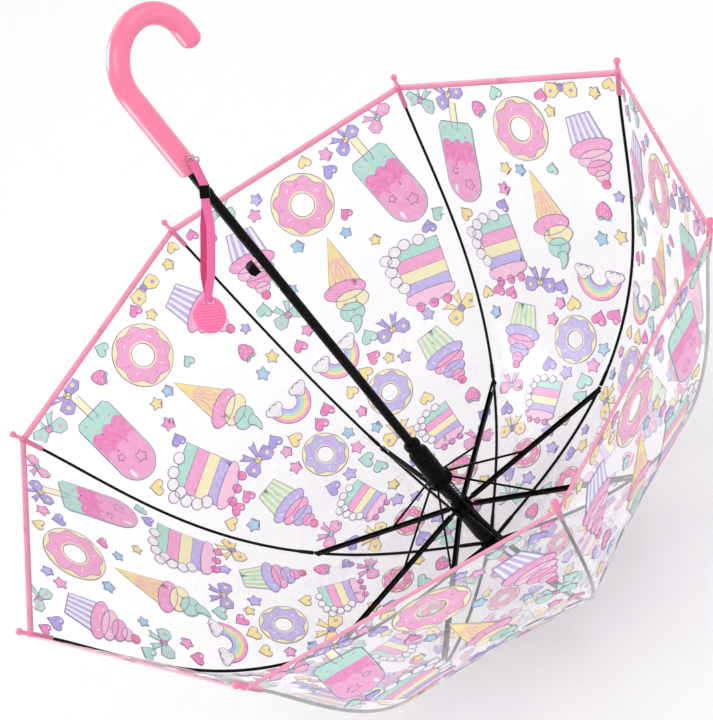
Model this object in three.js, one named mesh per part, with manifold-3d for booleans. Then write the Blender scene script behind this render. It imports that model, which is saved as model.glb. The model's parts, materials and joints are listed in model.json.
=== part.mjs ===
// A child's dome umbrella, open, standing on its ferrule with the crook handle up.
// Millimetres. +Z runs up the shaft from the ferrule's flat tip at z = 0, and the crook bends towards +X.
// Everything that repeats on the eight ribs is made once in the XZ plane and turned to its azimuth.
import * as THREE from "three";
import { mergeVertices } from "three/addons/utils/BufferGeometryUtils.js";
import Module from "manifold-3d";

const wasm = await Module();
wasm.setup();

// Ribs: a curve given by its lean from the shaft at the rim, at one and two thirds, and at the crown
const RIBS = 8;
const FIRST_AZIMUTH = 22.5;
const RIM_R = 350;
const RIM_Z = 333;
const RIB_LENGTH = 478.5;
const RIB_LEAN = [29.3, 32.3, 65.4, 82.4];
const RIB_WIRE = 2.8;
const CROWN_PIVOT = { r: 7, z: 50 };

// Stretchers and links
const JOINT_SHARE = 0.652; // share of the rib's length from the rim to the stretcher's joint
const HUB_PIVOT = { r: 8.5, z: 105 };
const FLANGE_PIVOT = { r: 11, z: 146 };
const LINK_SHARE = 0.45; // share of the stretcher's length from the hub to the link's joint
const STRETCHER_WIDTH = 4.6;
const STRETCHER_HEIGHT = 3.2;
const WALL = 0.6; // wall of the stretcher's channel
const FORK_DEPTH = 32; // slot at the stretcher's outer end that straddles the rib
const LINK_WINDOW = [-20, 4]; // opening in the channel's base round the link's joint
const LINK_WIDTH = 1.6;
const LINK_HEIGHT = 2;
const CONNECTOR_LENGTH = 9;

// Shaft and the pieces on it
const SHAFT = { r: 4.2, bore: 3.5, bottom: 28, top: 571 };
const SLIDE_R = 4.9; // bore of what slides on the shaft
const FIXED_R = 4.5; // bore of what is fixed on the shaft
const HANDLE = { r: 9.3, bottom: 546, bend: 625.6, bendR: 38.5, end: 9 };
const LATCH = { azimuth: 150, bottom: 410, rise: 434.4, top: 445, out: 15, width: 8.4 };
const TOP_CATCH = { azimuth: 240, bottom: 166, top: 188 };
const LEAF = { flat: 4, raised: 5.9, thickness: 0.6 }; // radii of the spring leaves' inner faces
const SPRING = { r: 6.9, wire: 0.9, turns: 12, bottom: 110.5, top: 149.4 };
const SPRING_POCKET = { r: 7.9, top: 149.9 }; // counterbore in the runner

// Canopy: flat panels from rib to rib
const FILM = { inside: 3.4, thickness: 0.4, holeR: 5, holeZ: 46.3, rings: 18 };

// Wrist strap, which hangs from a small ring in an eyelet on the handle
const EYE = new THREE.Vector3(1.26, -14.44, 559);
const STRAP_DOWN = new THREE.Vector3(-0.5683, 0.1228, -0.8514).normalize();
const STRAP_FACE = new THREE.Vector3(-0.566, -0.713, 0.413);
const STRAP = {
  width: 6.5, thickness: 0.9, top: 4.6, keeper: 28, straight: 22, bottom: 118.4, bulge: 4.2, lean: 6.3,
};
const KEEPER = { halfLength: 5.2, wall: 0.6 };
const DISC = { halfWidth: 13.5, halfHeight: 15.5, thickness: 3.4, centre: 129.8 };

const rad = THREE.MathUtils.degToRad;

// ---- solids ----

function solidOf(geometry) {
  const bare = new THREE.BufferGeometry();
  bare.setAttribute("position", geometry.getAttribute("position"));
  bare.setIndex(geometry.index);
  const merged = mergeVertices(bare, 1e-4);
  const triVerts = new Uint32Array(merged.index.array);
  const vertProperties = merged.attributes.position.array;
  const made = new wasm.Manifold(new wasm.Mesh({ numProp: 3, vertProperties, triVerts }));
  if (made.volume() >= 0) return made;
  return new wasm.Manifold(
    new wasm.Mesh({ numProp: 3, vertProperties, triVerts: triVerts.reverse() }),
  );
}

function geometryOf(solid) {
  const mesh = solid.getMesh();
  const geometry = new THREE.BufferGeometry();
  geometry.setAttribute("position", new THREE.BufferAttribute(mesh.vertProperties, 3));
  geometry.setIndex(new THREE.BufferAttribute(mesh.triVerts, 1));
  geometry.computeVertexNormals();
  return geometry;
}

const join = (...geometries) => geometries.map(solidOf).reduce((a, b) => a.add(b));
const cut = (solid, ...geometries) => geometries.map(solidOf).reduce((a, b) => a.subtract(b), solid);

// A box between two corners.
function box(x0, x1, y0, y1, z0, z1) {
  const geometry = new THREE.BoxGeometry(x1 - x0, y1 - y0, z1 - z0);
  return geometry.translate((x0 + x1) / 2, (y0 + y1) / 2, (z0 + z1) / 2);
}

// A cylinder about the Y direction, at x, z.
function crossPin(r, x, z, y0, y1, sides = 8) {
  return new THREE.CylinderGeometry(r, r, y1 - y0, sides).translate(x, (y0 + y1) / 2, z);
}

// A turned piece about Z from its [r, z] outline, closed on itself or ending on the axis.
function turned(outline, sides = 20) {
  const points = outline.map(([r, z]) => new THREE.Vector2(r, z));
  return new THREE.LatheGeometry(points, sides).rotateX(Math.PI / 2);
}

// A tube between two radii and two heights.
function sleeve(inner, outer, bottom, top, sides = 20) {
  const corners = [[inner, bottom], [outer, bottom], [outer, top], [inner, top], [inner, bottom]];
  return turned(corners, sides);
}

// A round rod along a curve.
function rod(curve, r, steps, sides) {
  const section = new THREE.Shape();
  for (let i = 0; i < sides; i++) {
    const a = (2 * Math.PI * i) / sides;
    section[i ? "lineTo" : "moveTo"](r * Math.cos(a), r * Math.sin(a));
  }
  return new THREE.ExtrudeGeometry(section, { steps, extrudePath: curve, curveSegments: 1 });
}

// An [x, z] outline with round corners where it needs them, given a width along Y.
function plate(shape, y0, y1, curveSegments = 8) {
  const geometry = new THREE.ExtrudeGeometry(shape, {
    depth: y1 - y0, bevelEnabled: false, curveSegments,
  });
  return geometry.rotateX(Math.PI / 2).translate(0, y1, 0);
}

// ---- the rib's curve ----

// Lean from the shaft, in radians, at a share s of the length from the rim.
function ribLean(s) {
  const t = 3 * s;
  const [a, b, c, d] = RIB_LEAN;
  const first = (-a * (t - 1) * (t - 2) * (t - 3)) / 6 + (b * t * (t - 2) * (t - 3)) / 2;
  const second = (-c * t * (t - 1) * (t - 3)) / 2 + (d * t * (t - 1) * (t - 2)) / 6;
  return rad(first + second);
}

// Point of the rib at a share s, pushed out from the shaft's side by an offset.
const FINE = 960;
const ribTrack = [{ r: RIM_R, z: RIM_Z }];
for (let i = 0; i < FINE; i++) {
  const lean = ribLean((i + 0.5) / FINE);
  const last = ribTrack[i];
  const step = RIB_LENGTH / FINE;
  ribTrack.push({ r: last.r - step * Math.sin(lean), z: last.z - step * Math.cos(lean) });
}
function ribPoint(s, offset = 0) {
  const at = Math.min(s * FINE, FINE - 1e-6);
  const low = ribTrack[Math.floor(at)];
  const high = ribTrack[Math.floor(at) + 1];
  const lean = ribLean(s);
  return {
    r: THREE.MathUtils.lerp(low.r, high.r, at % 1) + offset * Math.cos(lean),
    z: THREE.MathUtils.lerp(low.z, high.z, at % 1) - offset * Math.sin(lean),
  };
}

function ribCurve(from, to, count) {
  const points = [];
  for (let i = 0; i <= count; i++) {
    const p = ribPoint(THREE.MathUtils.lerp(from, to, i / count));
    points.push(new THREE.Vector3(p.r, 0, p.z));
  }
  return new THREE.CatmullRomCurve3(points);
}

const joint = ribPoint(JOINT_SHARE);
const stretcherLength = Math.hypot(joint.r - HUB_PIVOT.r, joint.z - HUB_PIVOT.z);
const stretcherAngle = Math.atan2(joint.z - HUB_PIVOT.z, joint.r - HUB_PIVOT.r);
const linkJoint = {
  r: THREE.MathUtils.lerp(HUB_PIVOT.r, joint.r, LINK_SHARE),
  z: THREE.MathUtils.lerp(HUB_PIVOT.z, joint.z, LINK_SHARE),
};
const linkLength = Math.hypot(linkJoint.r - FLANGE_PIVOT.r, linkJoint.z - FLANGE_PIVOT.z);
const linkAngle = Math.atan2(linkJoint.z - FLANGE_PIVOT.z, linkJoint.r - FLANGE_PIVOT.r);

// ---- frame pieces in the XZ plane ----

const WIRE_SIDES = 6;

function ribInner() {
  const wire = rod(ribCurve(1, JOINT_SHARE, 14), RIB_WIRE / 2, 14, WIRE_SIDES);
  const eye = crossPin(1.6, CROWN_PIVOT.r, CROWN_PIVOT.z, -1.1, 1.1);
  const crimp = new THREE.CylinderGeometry(1.8, 2.3, CONNECTOR_LENGTH, 8).scale(1, 1, 0.66);
  crimp.rotateZ(-Math.PI / 2).rotateX(Math.PI / 2);
  crimp.rotateY(-(Math.PI / 2 - ribLean(JOINT_SHARE))).translate(joint.r, 0, joint.z);
  return join(wire, eye, crimp);
}

function ribOuter() {
  const start = JOINT_SHARE - (CONNECTOR_LENGTH / 2 + 0.7) / RIB_LENGTH;
  return solidOf(rod(ribCurve(start, 0, 14), RIB_WIRE / 2, 14, WIRE_SIDES));
}

// Plastic tip: a sleeve on the wire's end, a collar, a neck that holds the hem, and a ball.
function ribTip() {
  const bore = 1.75;
  const length = 22.4;
  const ballR = 3.2;
  const ballAt = 8.8;
  const outline = [[bore, -length], [2.45, -length], [2.45, -2.5], [3, -1.5], [3, 0.2], [1.9, 1.2]];
  for (let i = 0; i <= 4; i++) {
    const a = rad(-54 + (i * 144) / 4);
    outline.push([ballR * Math.cos(a), ballAt + ballR * Math.sin(a)]);
  }
  outline[outline.length - 1][0] = 0;
  outline.push([0, 1.2], [bore, 0.5], [bore, -length]);
  const tip = turned(outline, 10);
  const lean = ribLean(length / 2 / RIB_LENGTH); // the wire's own lean half way along the sleeve
  return solidOf(tip.rotateY(lean).translate(RIM_R, 0, RIM_Z));
}

// Channel with its open side up, a tongue at the hub and a fork at the rib; length along X.
function stretcher() {
  const half = STRETCHER_WIDTH / 2;
  const tall = STRETCHER_HEIGHT / 2;
  const gap = half - WALL;
  const end = stretcherLength + 1.8;
  const at = stretcherLength * LINK_SHARE;
  const side = new THREE.Shape();
  side.moveTo(5, tall);
  side.lineTo(5, -tall);
  side.lineTo(end - 4, -tall);
  side.lineTo(end, -tall * 0.45);
  side.lineTo(end, tall * 0.6);
  side.lineTo(end - 3, tall);
  const body = join(
    plate(side, -half, half),
    box(0, 6, -1.1, 1.1, -tall, tall),
    crossPin(tall, 0, 0, -1.1, 1.1),
  );
  const hollow = cut(
    body,
    box(7, end + 1, -gap, gap, -tall + 0.8, tall + 1),
    box(stretcherLength - FORK_DEPTH, end + 1, -gap, gap, -tall - 1, tall + 1),
    box(at + LINK_WINDOW[0], at + LINK_WINDOW[1], -gap, gap, -tall - 1, tall + 1),
  );
  const heads = [at, stretcherLength].flatMap((x) => [
    crossPin(1.3, x, 0, half - 0.2, half + 0.5),
    crossPin(1.3, x, 0, -half - 0.5, -half + 0.2),
  ]);
  return heads.map(solidOf).reduce((a, b) => a.add(b), hollow);
}

function link() {
  const half = LINK_WIDTH / 2;
  const tall = LINK_HEIGHT / 2;
  return join(
    box(0, linkLength, -half, half, -tall, tall),
    crossPin(1.3, 0, 0, -half, half),
    crossPin(1.2, linkLength, 0, -half, half),
  );
}

// Radial slots at the ribs' azimuths, through a turned piece.
function slotted(solid, width, inner, bottom, top) {
  let made = solid;
  for (let k = 0; k < RIBS; k++) {
    const slot = box(inner, 30, -width / 2, width / 2, bottom, top);
    made = cut(made, slot.rotateZ(rad(FIRST_AZIMUTH + (360 / RIBS) * k)));
  }
  return made;
}

// ---- pieces on the shaft ----

// A slot in the shaft for a leaf at an azimuth.
function leafSlot(azimuth, width, bottom, top) {
  return box(1, 12, -width / 2, width / 2, bottom, top).rotateZ(rad(azimuth));
}

function shaft() {
  return cut(
    solidOf(sleeve(SHAFT.bore, SHAFT.r, SHAFT.bottom, SHAFT.top, 24)),
    leafSlot(LATCH.azimuth, 4.2, LATCH.bottom - 3, LATCH.top + 3),
    leafSlot(TOP_CATCH.azimuth, 2.8, TOP_CATCH.bottom - 2, TOP_CATCH.top + 2),
  );
}

function ferrule() {
  return solidOf(turned([
    [0, 0], [2.6, 0], [3.3, 0.8], [4.3, 12], [5.4, 26], [6.6, 38], [9.6, 42.5], [9.6, 44.7],
    [FIXED_R, 44.7], [FIXED_R, SHAFT.bottom - 1], [0, SHAFT.bottom - 1],
  ], 24));
}

function crown() {
  const body = turned([
    [FIXED_R, 47.4], [8.4, 47.4], [9.4, 48.4], [9.4, 52.6], [8, 54.4], [FIXED_R, 54.4],
    [FIXED_R, 47.4],
  ], 24);
  return slotted(solidOf(body), RIB_WIRE + 0.6, 5.2, 47, 55);
}

// Sleeve from the crown to the hub, narrow at its foot, where the shut ribs pass.
function crownSleeve() {
  return solidOf(turned([
    [FIXED_R, 54.8], [6.4, 54.8], [8.3, 66], [8.3, 99.8], [FIXED_R, 99.8], [FIXED_R, 54.8],
  ], 24));
}

function stretcherHub() {
  const body = turned([
    [SLIDE_R, 100.4], [9.4, 100.4], [10.2, 101.2], [10.2, 108.2], [9.4, 109], [6.4, 109],
    [6.4, 110], [SLIDE_R, 110], [SLIDE_R, 100.4],
  ], 24);
  return slotted(solidOf(body), 2.8, 6.4, 100, 109.5);
}

function runner() {
  const body = turned([
    [SPRING_POCKET.r, 142.8], [11.6, 142.8], [12.4, 143.6], [12.4, 148.2], [11.6, 149],
    [9.4, 149.6], [9.4, 184], [8.8, 186], [7.2, 187.4], [6.6, 188.6], [6.6, 192.4], [7.4, 193],
    [7.8, 193.8], [7.8, 196.4], [7.2, 197.2], [6.4, 197.6], [6.4, 198.4], [5.9, 199],
    [SLIDE_R, 199], [SLIDE_R, SPRING_POCKET.top], [SPRING_POCKET.r, SPRING_POCKET.top],
    [SPRING_POCKET.r, 142.8],
  ], 24);
  const grooved = slotted(solidOf(body), LINK_WIDTH + 0.6, 9.2, 142, 149.4);
  return cut(grooved, leafSlot(TOP_CATCH.azimuth, 2.8, 176, 182.5));
}

const shaftCollar = () => solidOf(sleeve(FIXED_R, 5.1, 518, 523, 20));

// Coil between the hub and the runner's flange.
function spring() {
  const coil = new (class extends THREE.Curve {
    getPoint(t, target = new THREE.Vector3()) {
      const a = 2 * Math.PI * SPRING.turns * t;
      const low = SPRING.bottom + SPRING.wire / 2;
      const high = SPRING.top - SPRING.wire / 2;
      const z = THREE.MathUtils.lerp(low, high, t);
      return target.set(SPRING.r * Math.cos(a), SPRING.r * Math.sin(a), z);
    }
  })();
  return solidOf(rod(coil, SPRING.wire / 2, SPRING.turns * 14, 6));
}

// Spring leaf that lies in the shaft's slot and rises under the thumb cap.
function latchSpring() {
  const { bottom, rise, top } = LATCH;
  const { flat, raised, thickness } = LEAF;
  const side = new THREE.Shape();
  side.moveTo(flat, bottom);
  side.lineTo(flat + thickness, bottom);
  side.lineTo(flat + thickness, rise - 0.6);
  side.lineTo(raised + thickness, rise + 4);
  side.lineTo(raised + thickness, top);
  side.lineTo(raised, top);
  side.lineTo(raised, rise + 4.2);
  side.lineTo(flat, rise - 0.4);
  return solidOf(plate(side, -1.5, 1.5));
}

// Thumb cap that stands on the leaf, widest at the side that the runner catches.
function latchButton() {
  const { rise, top, out, width } = LATCH;
  const seat = LEAF.raised + LEAF.thickness + 0.3;
  const side = new THREE.Shape();
  side.moveTo(seat, rise);
  side.lineTo(out - 2, rise);
  side.lineTo(out, rise + 4);
  side.quadraticCurveTo(out + 0.2, top - 3, out - 4, top);
  side.lineTo(seat, top);
  return solidOf(plate(side, -width / 2, width / 2));
}

function topCatch() {
  const side = new THREE.Shape();
  side.moveTo(LEAF.flat, TOP_CATCH.bottom);
  side.lineTo(LEAF.flat + LEAF.thickness, TOP_CATCH.bottom + 1);
  side.lineTo(LEAF.flat + LEAF.thickness, TOP_CATCH.top - 1);
  side.lineTo(LEAF.flat, TOP_CATCH.top);
  return solidOf(plate(side, -1.1, 1.1));
}

// ---- handle ----

class CrookCurve extends THREE.Curve {
  constructor() {
    super();
    this.rise = HANDLE.bend - HANDLE.bottom;
    this.arc = Math.PI * HANDLE.bendR;
    this.total = this.rise + this.arc + HANDLE.end;
  }

  getPoint(t, target = new THREE.Vector3()) {
    const along = t * this.total;
    if (along < this.rise) return target.set(0, 0, HANDLE.bottom + along);
    if (along > this.rise + this.arc) {
      return target.set(2 * HANDLE.bendR, 0, HANDLE.bend - (along - this.rise - this.arc));
    }
    const a = (along - this.rise) / HANDLE.bendR;
    const { bend, bendR } = HANDLE;
    return target.set(bendR * (1 - Math.cos(a)), 0, bend + bendR * Math.sin(a));
  }
}

function handle() {
  const grip = rod(new CrookCurve(), HANDLE.r, 36, 16);
  const endRound = new THREE.SphereGeometry(HANDLE.r, 16, 8).rotateX(Math.PI / 2);
  endRound.translate(2 * HANDLE.bendR, 0, HANDLE.bend - HANDLE.end);
  const bore = new THREE.CylinderGeometry(FIXED_R, FIXED_R, 29, 32).rotateX(Math.PI / 2);
  bore.translate(0, 0, HANDLE.bottom + 13.5);
  return cut(join(grip, endRound), bore, eyeletShank(1.3, 5));
}

// ---- wrist strap ----

const strapAcross = new THREE.Vector3().crossVectors(STRAP_DOWN, STRAP_FACE).normalize();
const strapOut = new THREE.Vector3().crossVectors(strapAcross, STRAP_DOWN).normalize();

// How far the strap hangs to one side at a distance down it, most at the slide.
function strapLean(x) {
  const out = THREE.MathUtils.clamp((x - STRAP.top) / (STRAP.straight - STRAP.top), 0, 1);
  return STRAP.lean * out * (1 - THREE.MathUtils.smoothstep(x, 40, DISC.centre - 2));
}

// Puts a piece made with X down the strap, Y across it and Z out of its face at the eye.
function onStrap(geometry) {
  const at = geometry.attributes.position;
  for (let i = 0; i < at.count; i++) at.setY(i, at.getY(i) + strapLean(at.getX(i)));
  const turn = new THREE.Matrix4().makeBasis(STRAP_DOWN, strapAcross.clone().negate(), strapOut);
  return geometry.applyMatrix4(turn).translate(EYE.x, EYE.y, EYE.z);
}

const EYE_RING = { r: 1.9, wire: 0.6 };

// Point of the eyelet's ring that faces the handle.
function eyeletRoot() {
  const inward = new THREE.Vector3(-EYE.x, -EYE.y, 0).normalize();
  inward.addScaledVector(strapAcross, -inward.dot(strapAcross)).normalize();
  return EYE.clone().addScaledVector(inward, EYE_RING.r);
}

// Straight shank from the eyelet's ring towards the shaft, ending at a distance from the axis.
function eyeletShank(r, endR) {
  const root = eyeletRoot();
  const outR = Math.hypot(root.x, root.y);
  const length = outR - endR;
  const shank = new THREE.CylinderGeometry(r, r, length, 12).rotateZ(Math.PI / 2);
  shank.translate(endR + length / 2, 0, root.z);
  return shank.rotateZ(Math.atan2(root.y, root.x));
}

function strapEyelet() {
  const ring = new THREE.TorusGeometry(EYE_RING.r, EYE_RING.wire, 6, 16);
  const turn = new THREE.Quaternion().setFromUnitVectors(new THREE.Vector3(0, 0, 1), strapAcross);
  ring.applyQuaternion(turn).translate(EYE.x, EYE.y, EYE.z);
  return join(ring, eyeletShank(0.9, 5.6));
}

// Flat wire frame: its upper bar runs in the eyelet and its lower bar holds the strap.
function strapRing() {
  const frame = (halfWide, over) => {
    const shape = new THREE.Shape();
    shape.moveTo(-over, -halfWide);
    shape.lineTo(STRAP.top + over, -halfWide);
    shape.lineTo(STRAP.top + over, halfWide);
    shape.lineTo(-over, halfWide);
    shape.closePath();
    return shape;
  };
  const shape = frame(5, 0.6);
  shape.holes.push(frame(3.8, -0.6));
  const flat = new THREE.ExtrudeGeometry(shape, { depth: 1.2, bevelEnabled: false });
  return solidOf(onStrap(flat.translate(0, 0, -0.6)));
}

// Half the gap between the strap's two layers at a distance down it.
function strapHalfGap(x) {
  const open = THREE.MathUtils.smoothstep(x, STRAP.keeper + 6, 62);
  const shut = 1 - THREE.MathUtils.smoothstep(x, 74, STRAP.bottom - 6);
  const base = THREE.MathUtils.lerp(1.25, 2.1, THREE.MathUtils.smoothstep(x, 40, 90));
  return base + STRAP.bulge * open * shut;
}

// One closed band, seen from its edge: through the ring, down, round the disc's bar and back.
function strap() {
  const outline = (grow) => {
    const layer = [[STRAP.top, 1.25 + grow]];
    layer.push([STRAP.straight, 1.25 + grow]);
    for (let i = 0; i <= 14; i++) {
      const x = THREE.MathUtils.lerp(STRAP.keeper + 6, STRAP.bottom - 6, i / 14);
      layer.push([x, strapHalfGap(x) + grow]);
    }
    const points = [...layer];
    const lowR = 2.1 + grow;
    for (let i = 0; i <= 8; i++) {
      const a = Math.PI / 2 - (Math.PI * i) / 8;
      points.push([STRAP.bottom - 2.1 + lowR * Math.cos(a), lowR * Math.sin(a)]);
    }
    points.push(...layer.map(([x, z]) => [x, -z]).reverse());
    const highR = 1.25 + grow;
    for (let i = 1; i < 6; i++) {
      const a = -Math.PI / 2 - (Math.PI * i) / 6;
      points.push([STRAP.top + highR * Math.cos(a), highR * Math.sin(a)]);
    }
    return points;
  };
  const outer = outline(STRAP.thickness);
  const inner = outline(0);
  const half = STRAP.width / 2;
  const positions = outer.flatMap(([x, z], i) => [
    x, half, z, x, -half, z, inner[i][0], -half, inner[i][1], inner[i][0], half, inner[i][1],
  ]);
  const total = 4 * outer.length;
  const index = [];
  for (let a = 0; a < total; a++) {
    const b = a % 4 === 3 ? a - 3 : a + 1;
    index.push(a, b, (b + 4) % total, a, (b + 4) % total, (a + 4) % total);
  }
  const band = new THREE.BufferGeometry();
  band.setAttribute("position", new THREE.Float32BufferAttribute(positions, 3));
  band.setIndex(index);
  return solidOf(onStrap(band));
}

// Square slide that holds the strap's two layers together.
function strapKeeper() {
  const { keeper, width, thickness } = STRAP;
  const inside = 1.25 + thickness + 0.3;
  const side = width / 2 + 0.3;
  const { halfLength, wall } = KEEPER;
  return cut(
    solidOf(onStrap(box(keeper - halfLength, keeper + halfLength, -side - wall, side + wall,
      -inside - wall, inside + wall))),
    onStrap(box(keeper - halfLength - 1, keeper + halfLength + 1, -side, side, -inside, inside)),
  );
}

// Oval end disc with a slot that the strap's loop passes through.
function strapDisc() {
  const { halfWidth, halfHeight, thickness, centre } = DISC;
  const round = 0.9;
  const oval = new THREE.Shape();
  oval.absellipse(centre, 0, halfHeight - round, halfWidth - round, 0, 2 * Math.PI);
  const body = new THREE.ExtrudeGeometry(oval, {
    depth: thickness - 2 * round,
    bevelThickness: round,
    bevelSize: round,
    bevelSegments: 2,
    curveSegments: 14,
  });
  body.translate(0, 0, -thickness / 2 + round);
  const bar = STRAP.bottom - 1.5;
  const slot = box(bar, bar + 3.8, -4, 4, -thickness, thickness);
  return cut(solidOf(onStrap(body)), onStrap(slot));
}

// ---- canopy ----

// One closed skin of even thickness: eight flat gores from the crown's hole to the rim.
function canopy() {
  const positions = [];
  const index = [];
  const rings = [];
  for (const out of [FILM.inside, FILM.inside + FILM.thickness]) {
    for (let i = 0; i <= FILM.rings; i++) {
      const p = ribPoint(i / FILM.rings, out);
      rings.push([p.r, p.z]);
    }
    rings.push([FILM.holeR, FILM.holeZ - (out - FILM.inside)]);
  }
  for (const [r, z] of rings) {
    for (let k = 0; k < RIBS; k++) {
      const a = rad(FIRST_AZIMUTH + (360 / RIBS) * k);
      positions.push(r * Math.cos(a), r * Math.sin(a), z);
    }
  }
  const last = FILM.rings + 1;
  const outer = last + 1;
  const at = (ring, k) => ring * RIBS + (k % RIBS);
  const band = (low, high) => {
    for (let k = 0; k < RIBS; k++) {
      index.push(at(low, k), at(low, k + 1), at(high, k + 1));
      index.push(at(low, k), at(high, k + 1), at(high, k));
    }
  };
  for (let i = 0; i < last; i++) {
    band(i, i + 1);
    band(outer + i + 1, outer + i);
  }
  band(outer, 0);
  band(last, outer + last);
  const skin = new THREE.BufferGeometry();
  skin.setAttribute("position", new THREE.Float32BufferAttribute(positions, 3));
  skin.setIndex(index);
  return solidOf(skin);
}

// ---- materials and the scene graph ----

const finish = (color, roughness, metalness = 0) => ({ color, roughness, metalness });
const BLACK_PLASTIC = finish(0x1b1b1d, 0.4);
const BLACK_PAINT = finish(0x202023, 0.35, 0.6);
const PINK_PLASTIC = finish(0xf07bb0, 0.35);
const STEEL = finish(0xb8b4ac, 0.3, 1);

const group = new THREE.Group();

function add(name, solid, look, parent = group) {
  const mesh = new THREE.Mesh(geometryOf(solid), new THREE.MeshStandardMaterial(look));
  mesh.name = name;
  parent.add(mesh);
  return mesh;
}

add("shaft", shaft(), BLACK_PAINT);
add("handle", handle(), PINK_PLASTIC);
add("ferrule", ferrule(), PINK_PLASTIC);
add("crown", crown(), BLACK_PLASTIC);
add("crown_sleeve", crownSleeve(), BLACK_PLASTIC);
add("stretcher_hub", stretcherHub(), BLACK_PLASTIC);
add("spring", spring(), BLACK_PAINT);
add("runner", runner(), BLACK_PLASTIC);
add("shaft_collar", shaftCollar(), BLACK_PLASTIC);
add("canopy", canopy(), { ...finish(0xf4f1f6, 0.1), transparent: true, opacity: 0.3 });
add("strap_eyelet", strapEyelet(), STEEL);
add("strap_ring", strapRing(), STEEL);
add("strap", strap(), finish(0xf3a3c8, 0.8));
add("strap_keeper", strapKeeper(), BLACK_PLASTIC);
add("strap_disc", strapDisc(), PINK_PLASTIC);

const latchSide = new THREE.Group();
latchSide.rotation.z = rad(LATCH.azimuth);
group.add(latchSide);
add("latch_spring", latchSpring(), STEEL, latchSide);
add("latch_button", latchButton(), BLACK_PLASTIC, latchSide);

const catchSide = new THREE.Group();
catchSide.rotation.z = rad(TOP_CATCH.azimuth);
group.add(catchSide);
add("top_catch", topCatch(), STEEL, catchSide);

for (let k = 0; k < RIBS; k++) {
  const side = new THREE.Group();
  side.rotation.z = rad(FIRST_AZIMUTH + (360 / RIBS) * k);
  group.add(side);
  const number = k + 1;
  add("rib_inner_" + number, ribInner(), BLACK_PAINT, side);
  add("rib_outer_" + number, ribOuter(), BLACK_PAINT, side);
  add("rib_tip_" + number, ribTip(), PINK_PLASTIC, side);
  const arm = add("stretcher_" + number, stretcher(), BLACK_PAINT, side);
  arm.position.set(HUB_PIVOT.r, 0, HUB_PIVOT.z);
  arm.rotation.y = -stretcherAngle;
  const short = add("link_" + number, link(), BLACK_PAINT, side);
  short.position.set(FLANGE_PIVOT.r, 0, FLANGE_PIVOT.z);
  short.rotation.y = -linkAngle;
}

export default group;
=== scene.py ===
"""A child's clear dome umbrella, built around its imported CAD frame. Metres throughout, ferrule down."""

import json
import random
from math import cos, dist, hypot, pi, radians, sin, sqrt

import bmesh
import bpy
import numpy as np
from mathutils import Matrix, Vector


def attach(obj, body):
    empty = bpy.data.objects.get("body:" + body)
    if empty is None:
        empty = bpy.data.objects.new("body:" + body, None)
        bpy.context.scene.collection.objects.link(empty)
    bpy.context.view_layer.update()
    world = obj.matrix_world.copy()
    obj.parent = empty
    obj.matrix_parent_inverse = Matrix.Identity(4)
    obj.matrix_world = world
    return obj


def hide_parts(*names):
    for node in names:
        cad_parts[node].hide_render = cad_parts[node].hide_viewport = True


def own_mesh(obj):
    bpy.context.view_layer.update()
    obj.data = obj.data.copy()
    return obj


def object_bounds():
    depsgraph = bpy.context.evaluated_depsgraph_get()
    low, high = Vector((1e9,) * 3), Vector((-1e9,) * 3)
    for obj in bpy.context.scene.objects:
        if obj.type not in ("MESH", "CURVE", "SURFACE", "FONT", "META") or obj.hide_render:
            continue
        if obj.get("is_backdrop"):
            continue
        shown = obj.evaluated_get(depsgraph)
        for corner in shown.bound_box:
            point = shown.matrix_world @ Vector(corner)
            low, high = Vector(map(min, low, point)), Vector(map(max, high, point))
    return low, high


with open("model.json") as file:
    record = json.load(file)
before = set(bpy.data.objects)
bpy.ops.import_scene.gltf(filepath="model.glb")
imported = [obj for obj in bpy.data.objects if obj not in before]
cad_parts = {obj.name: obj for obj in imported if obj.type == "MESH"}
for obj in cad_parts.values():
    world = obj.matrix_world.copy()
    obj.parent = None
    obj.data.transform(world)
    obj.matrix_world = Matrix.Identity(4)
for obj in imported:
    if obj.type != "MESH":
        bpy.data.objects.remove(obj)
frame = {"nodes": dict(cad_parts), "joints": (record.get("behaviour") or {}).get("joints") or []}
cad_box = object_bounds()
MM = 0.001
joints = {j["name"]: j for j in frame["joints"]}

# ---- camera ----

CAMERA_AT = (-0.7285, -1.2122, 1.2637)
CAMERA_AHEAD = (0.4307, 0.7066, -0.5615)
CAMERA_UP = (0.7629, 0.0473, 0.6447)
FOCAL_LENGTH, SENSOR_WIDTH = 100.2, 36


def linked(name, data):
    made = bpy.data.objects.new(name, data)
    bpy.context.scene.collection.objects.link(made)
    return made


def axes(x, y, z, origin):
    """Matrix of a frame with these axes and origin."""
    place = Matrix((x, y, z)).transposed().to_4x4()
    place.translation = origin
    return place


def make_camera():
    """Three-quarter view from above and in front, rolled so that the shaft leans across the picture."""
    camera = linked("camera", bpy.data.cameras.new("camera"))
    ahead = Vector(CAMERA_AHEAD).normalized()
    up = Vector(CAMERA_UP)
    up = (up - up.dot(ahead) * ahead).normalized()
    camera.matrix_world = axes(ahead.cross(up), up, -ahead, CAMERA_AT)
    camera.data.sensor_fit = "HORIZONTAL"
    camera.data.sensor_width = SENSOR_WIDTH
    camera.data.lens = FOCAL_LENGTH
    bpy.context.scene.camera = camera


make_camera()

# ---- materials ----


def srgb(*color):
    """A display colour, 0 to 255, as a linear one."""
    return tuple(((c / 255 + 0.055) / 1.055) ** 2.4 if c > 10 else c / 255 / 12.92 for c in color)


def shaded(color, share):
    return tuple(c * share for c in color)


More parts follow.
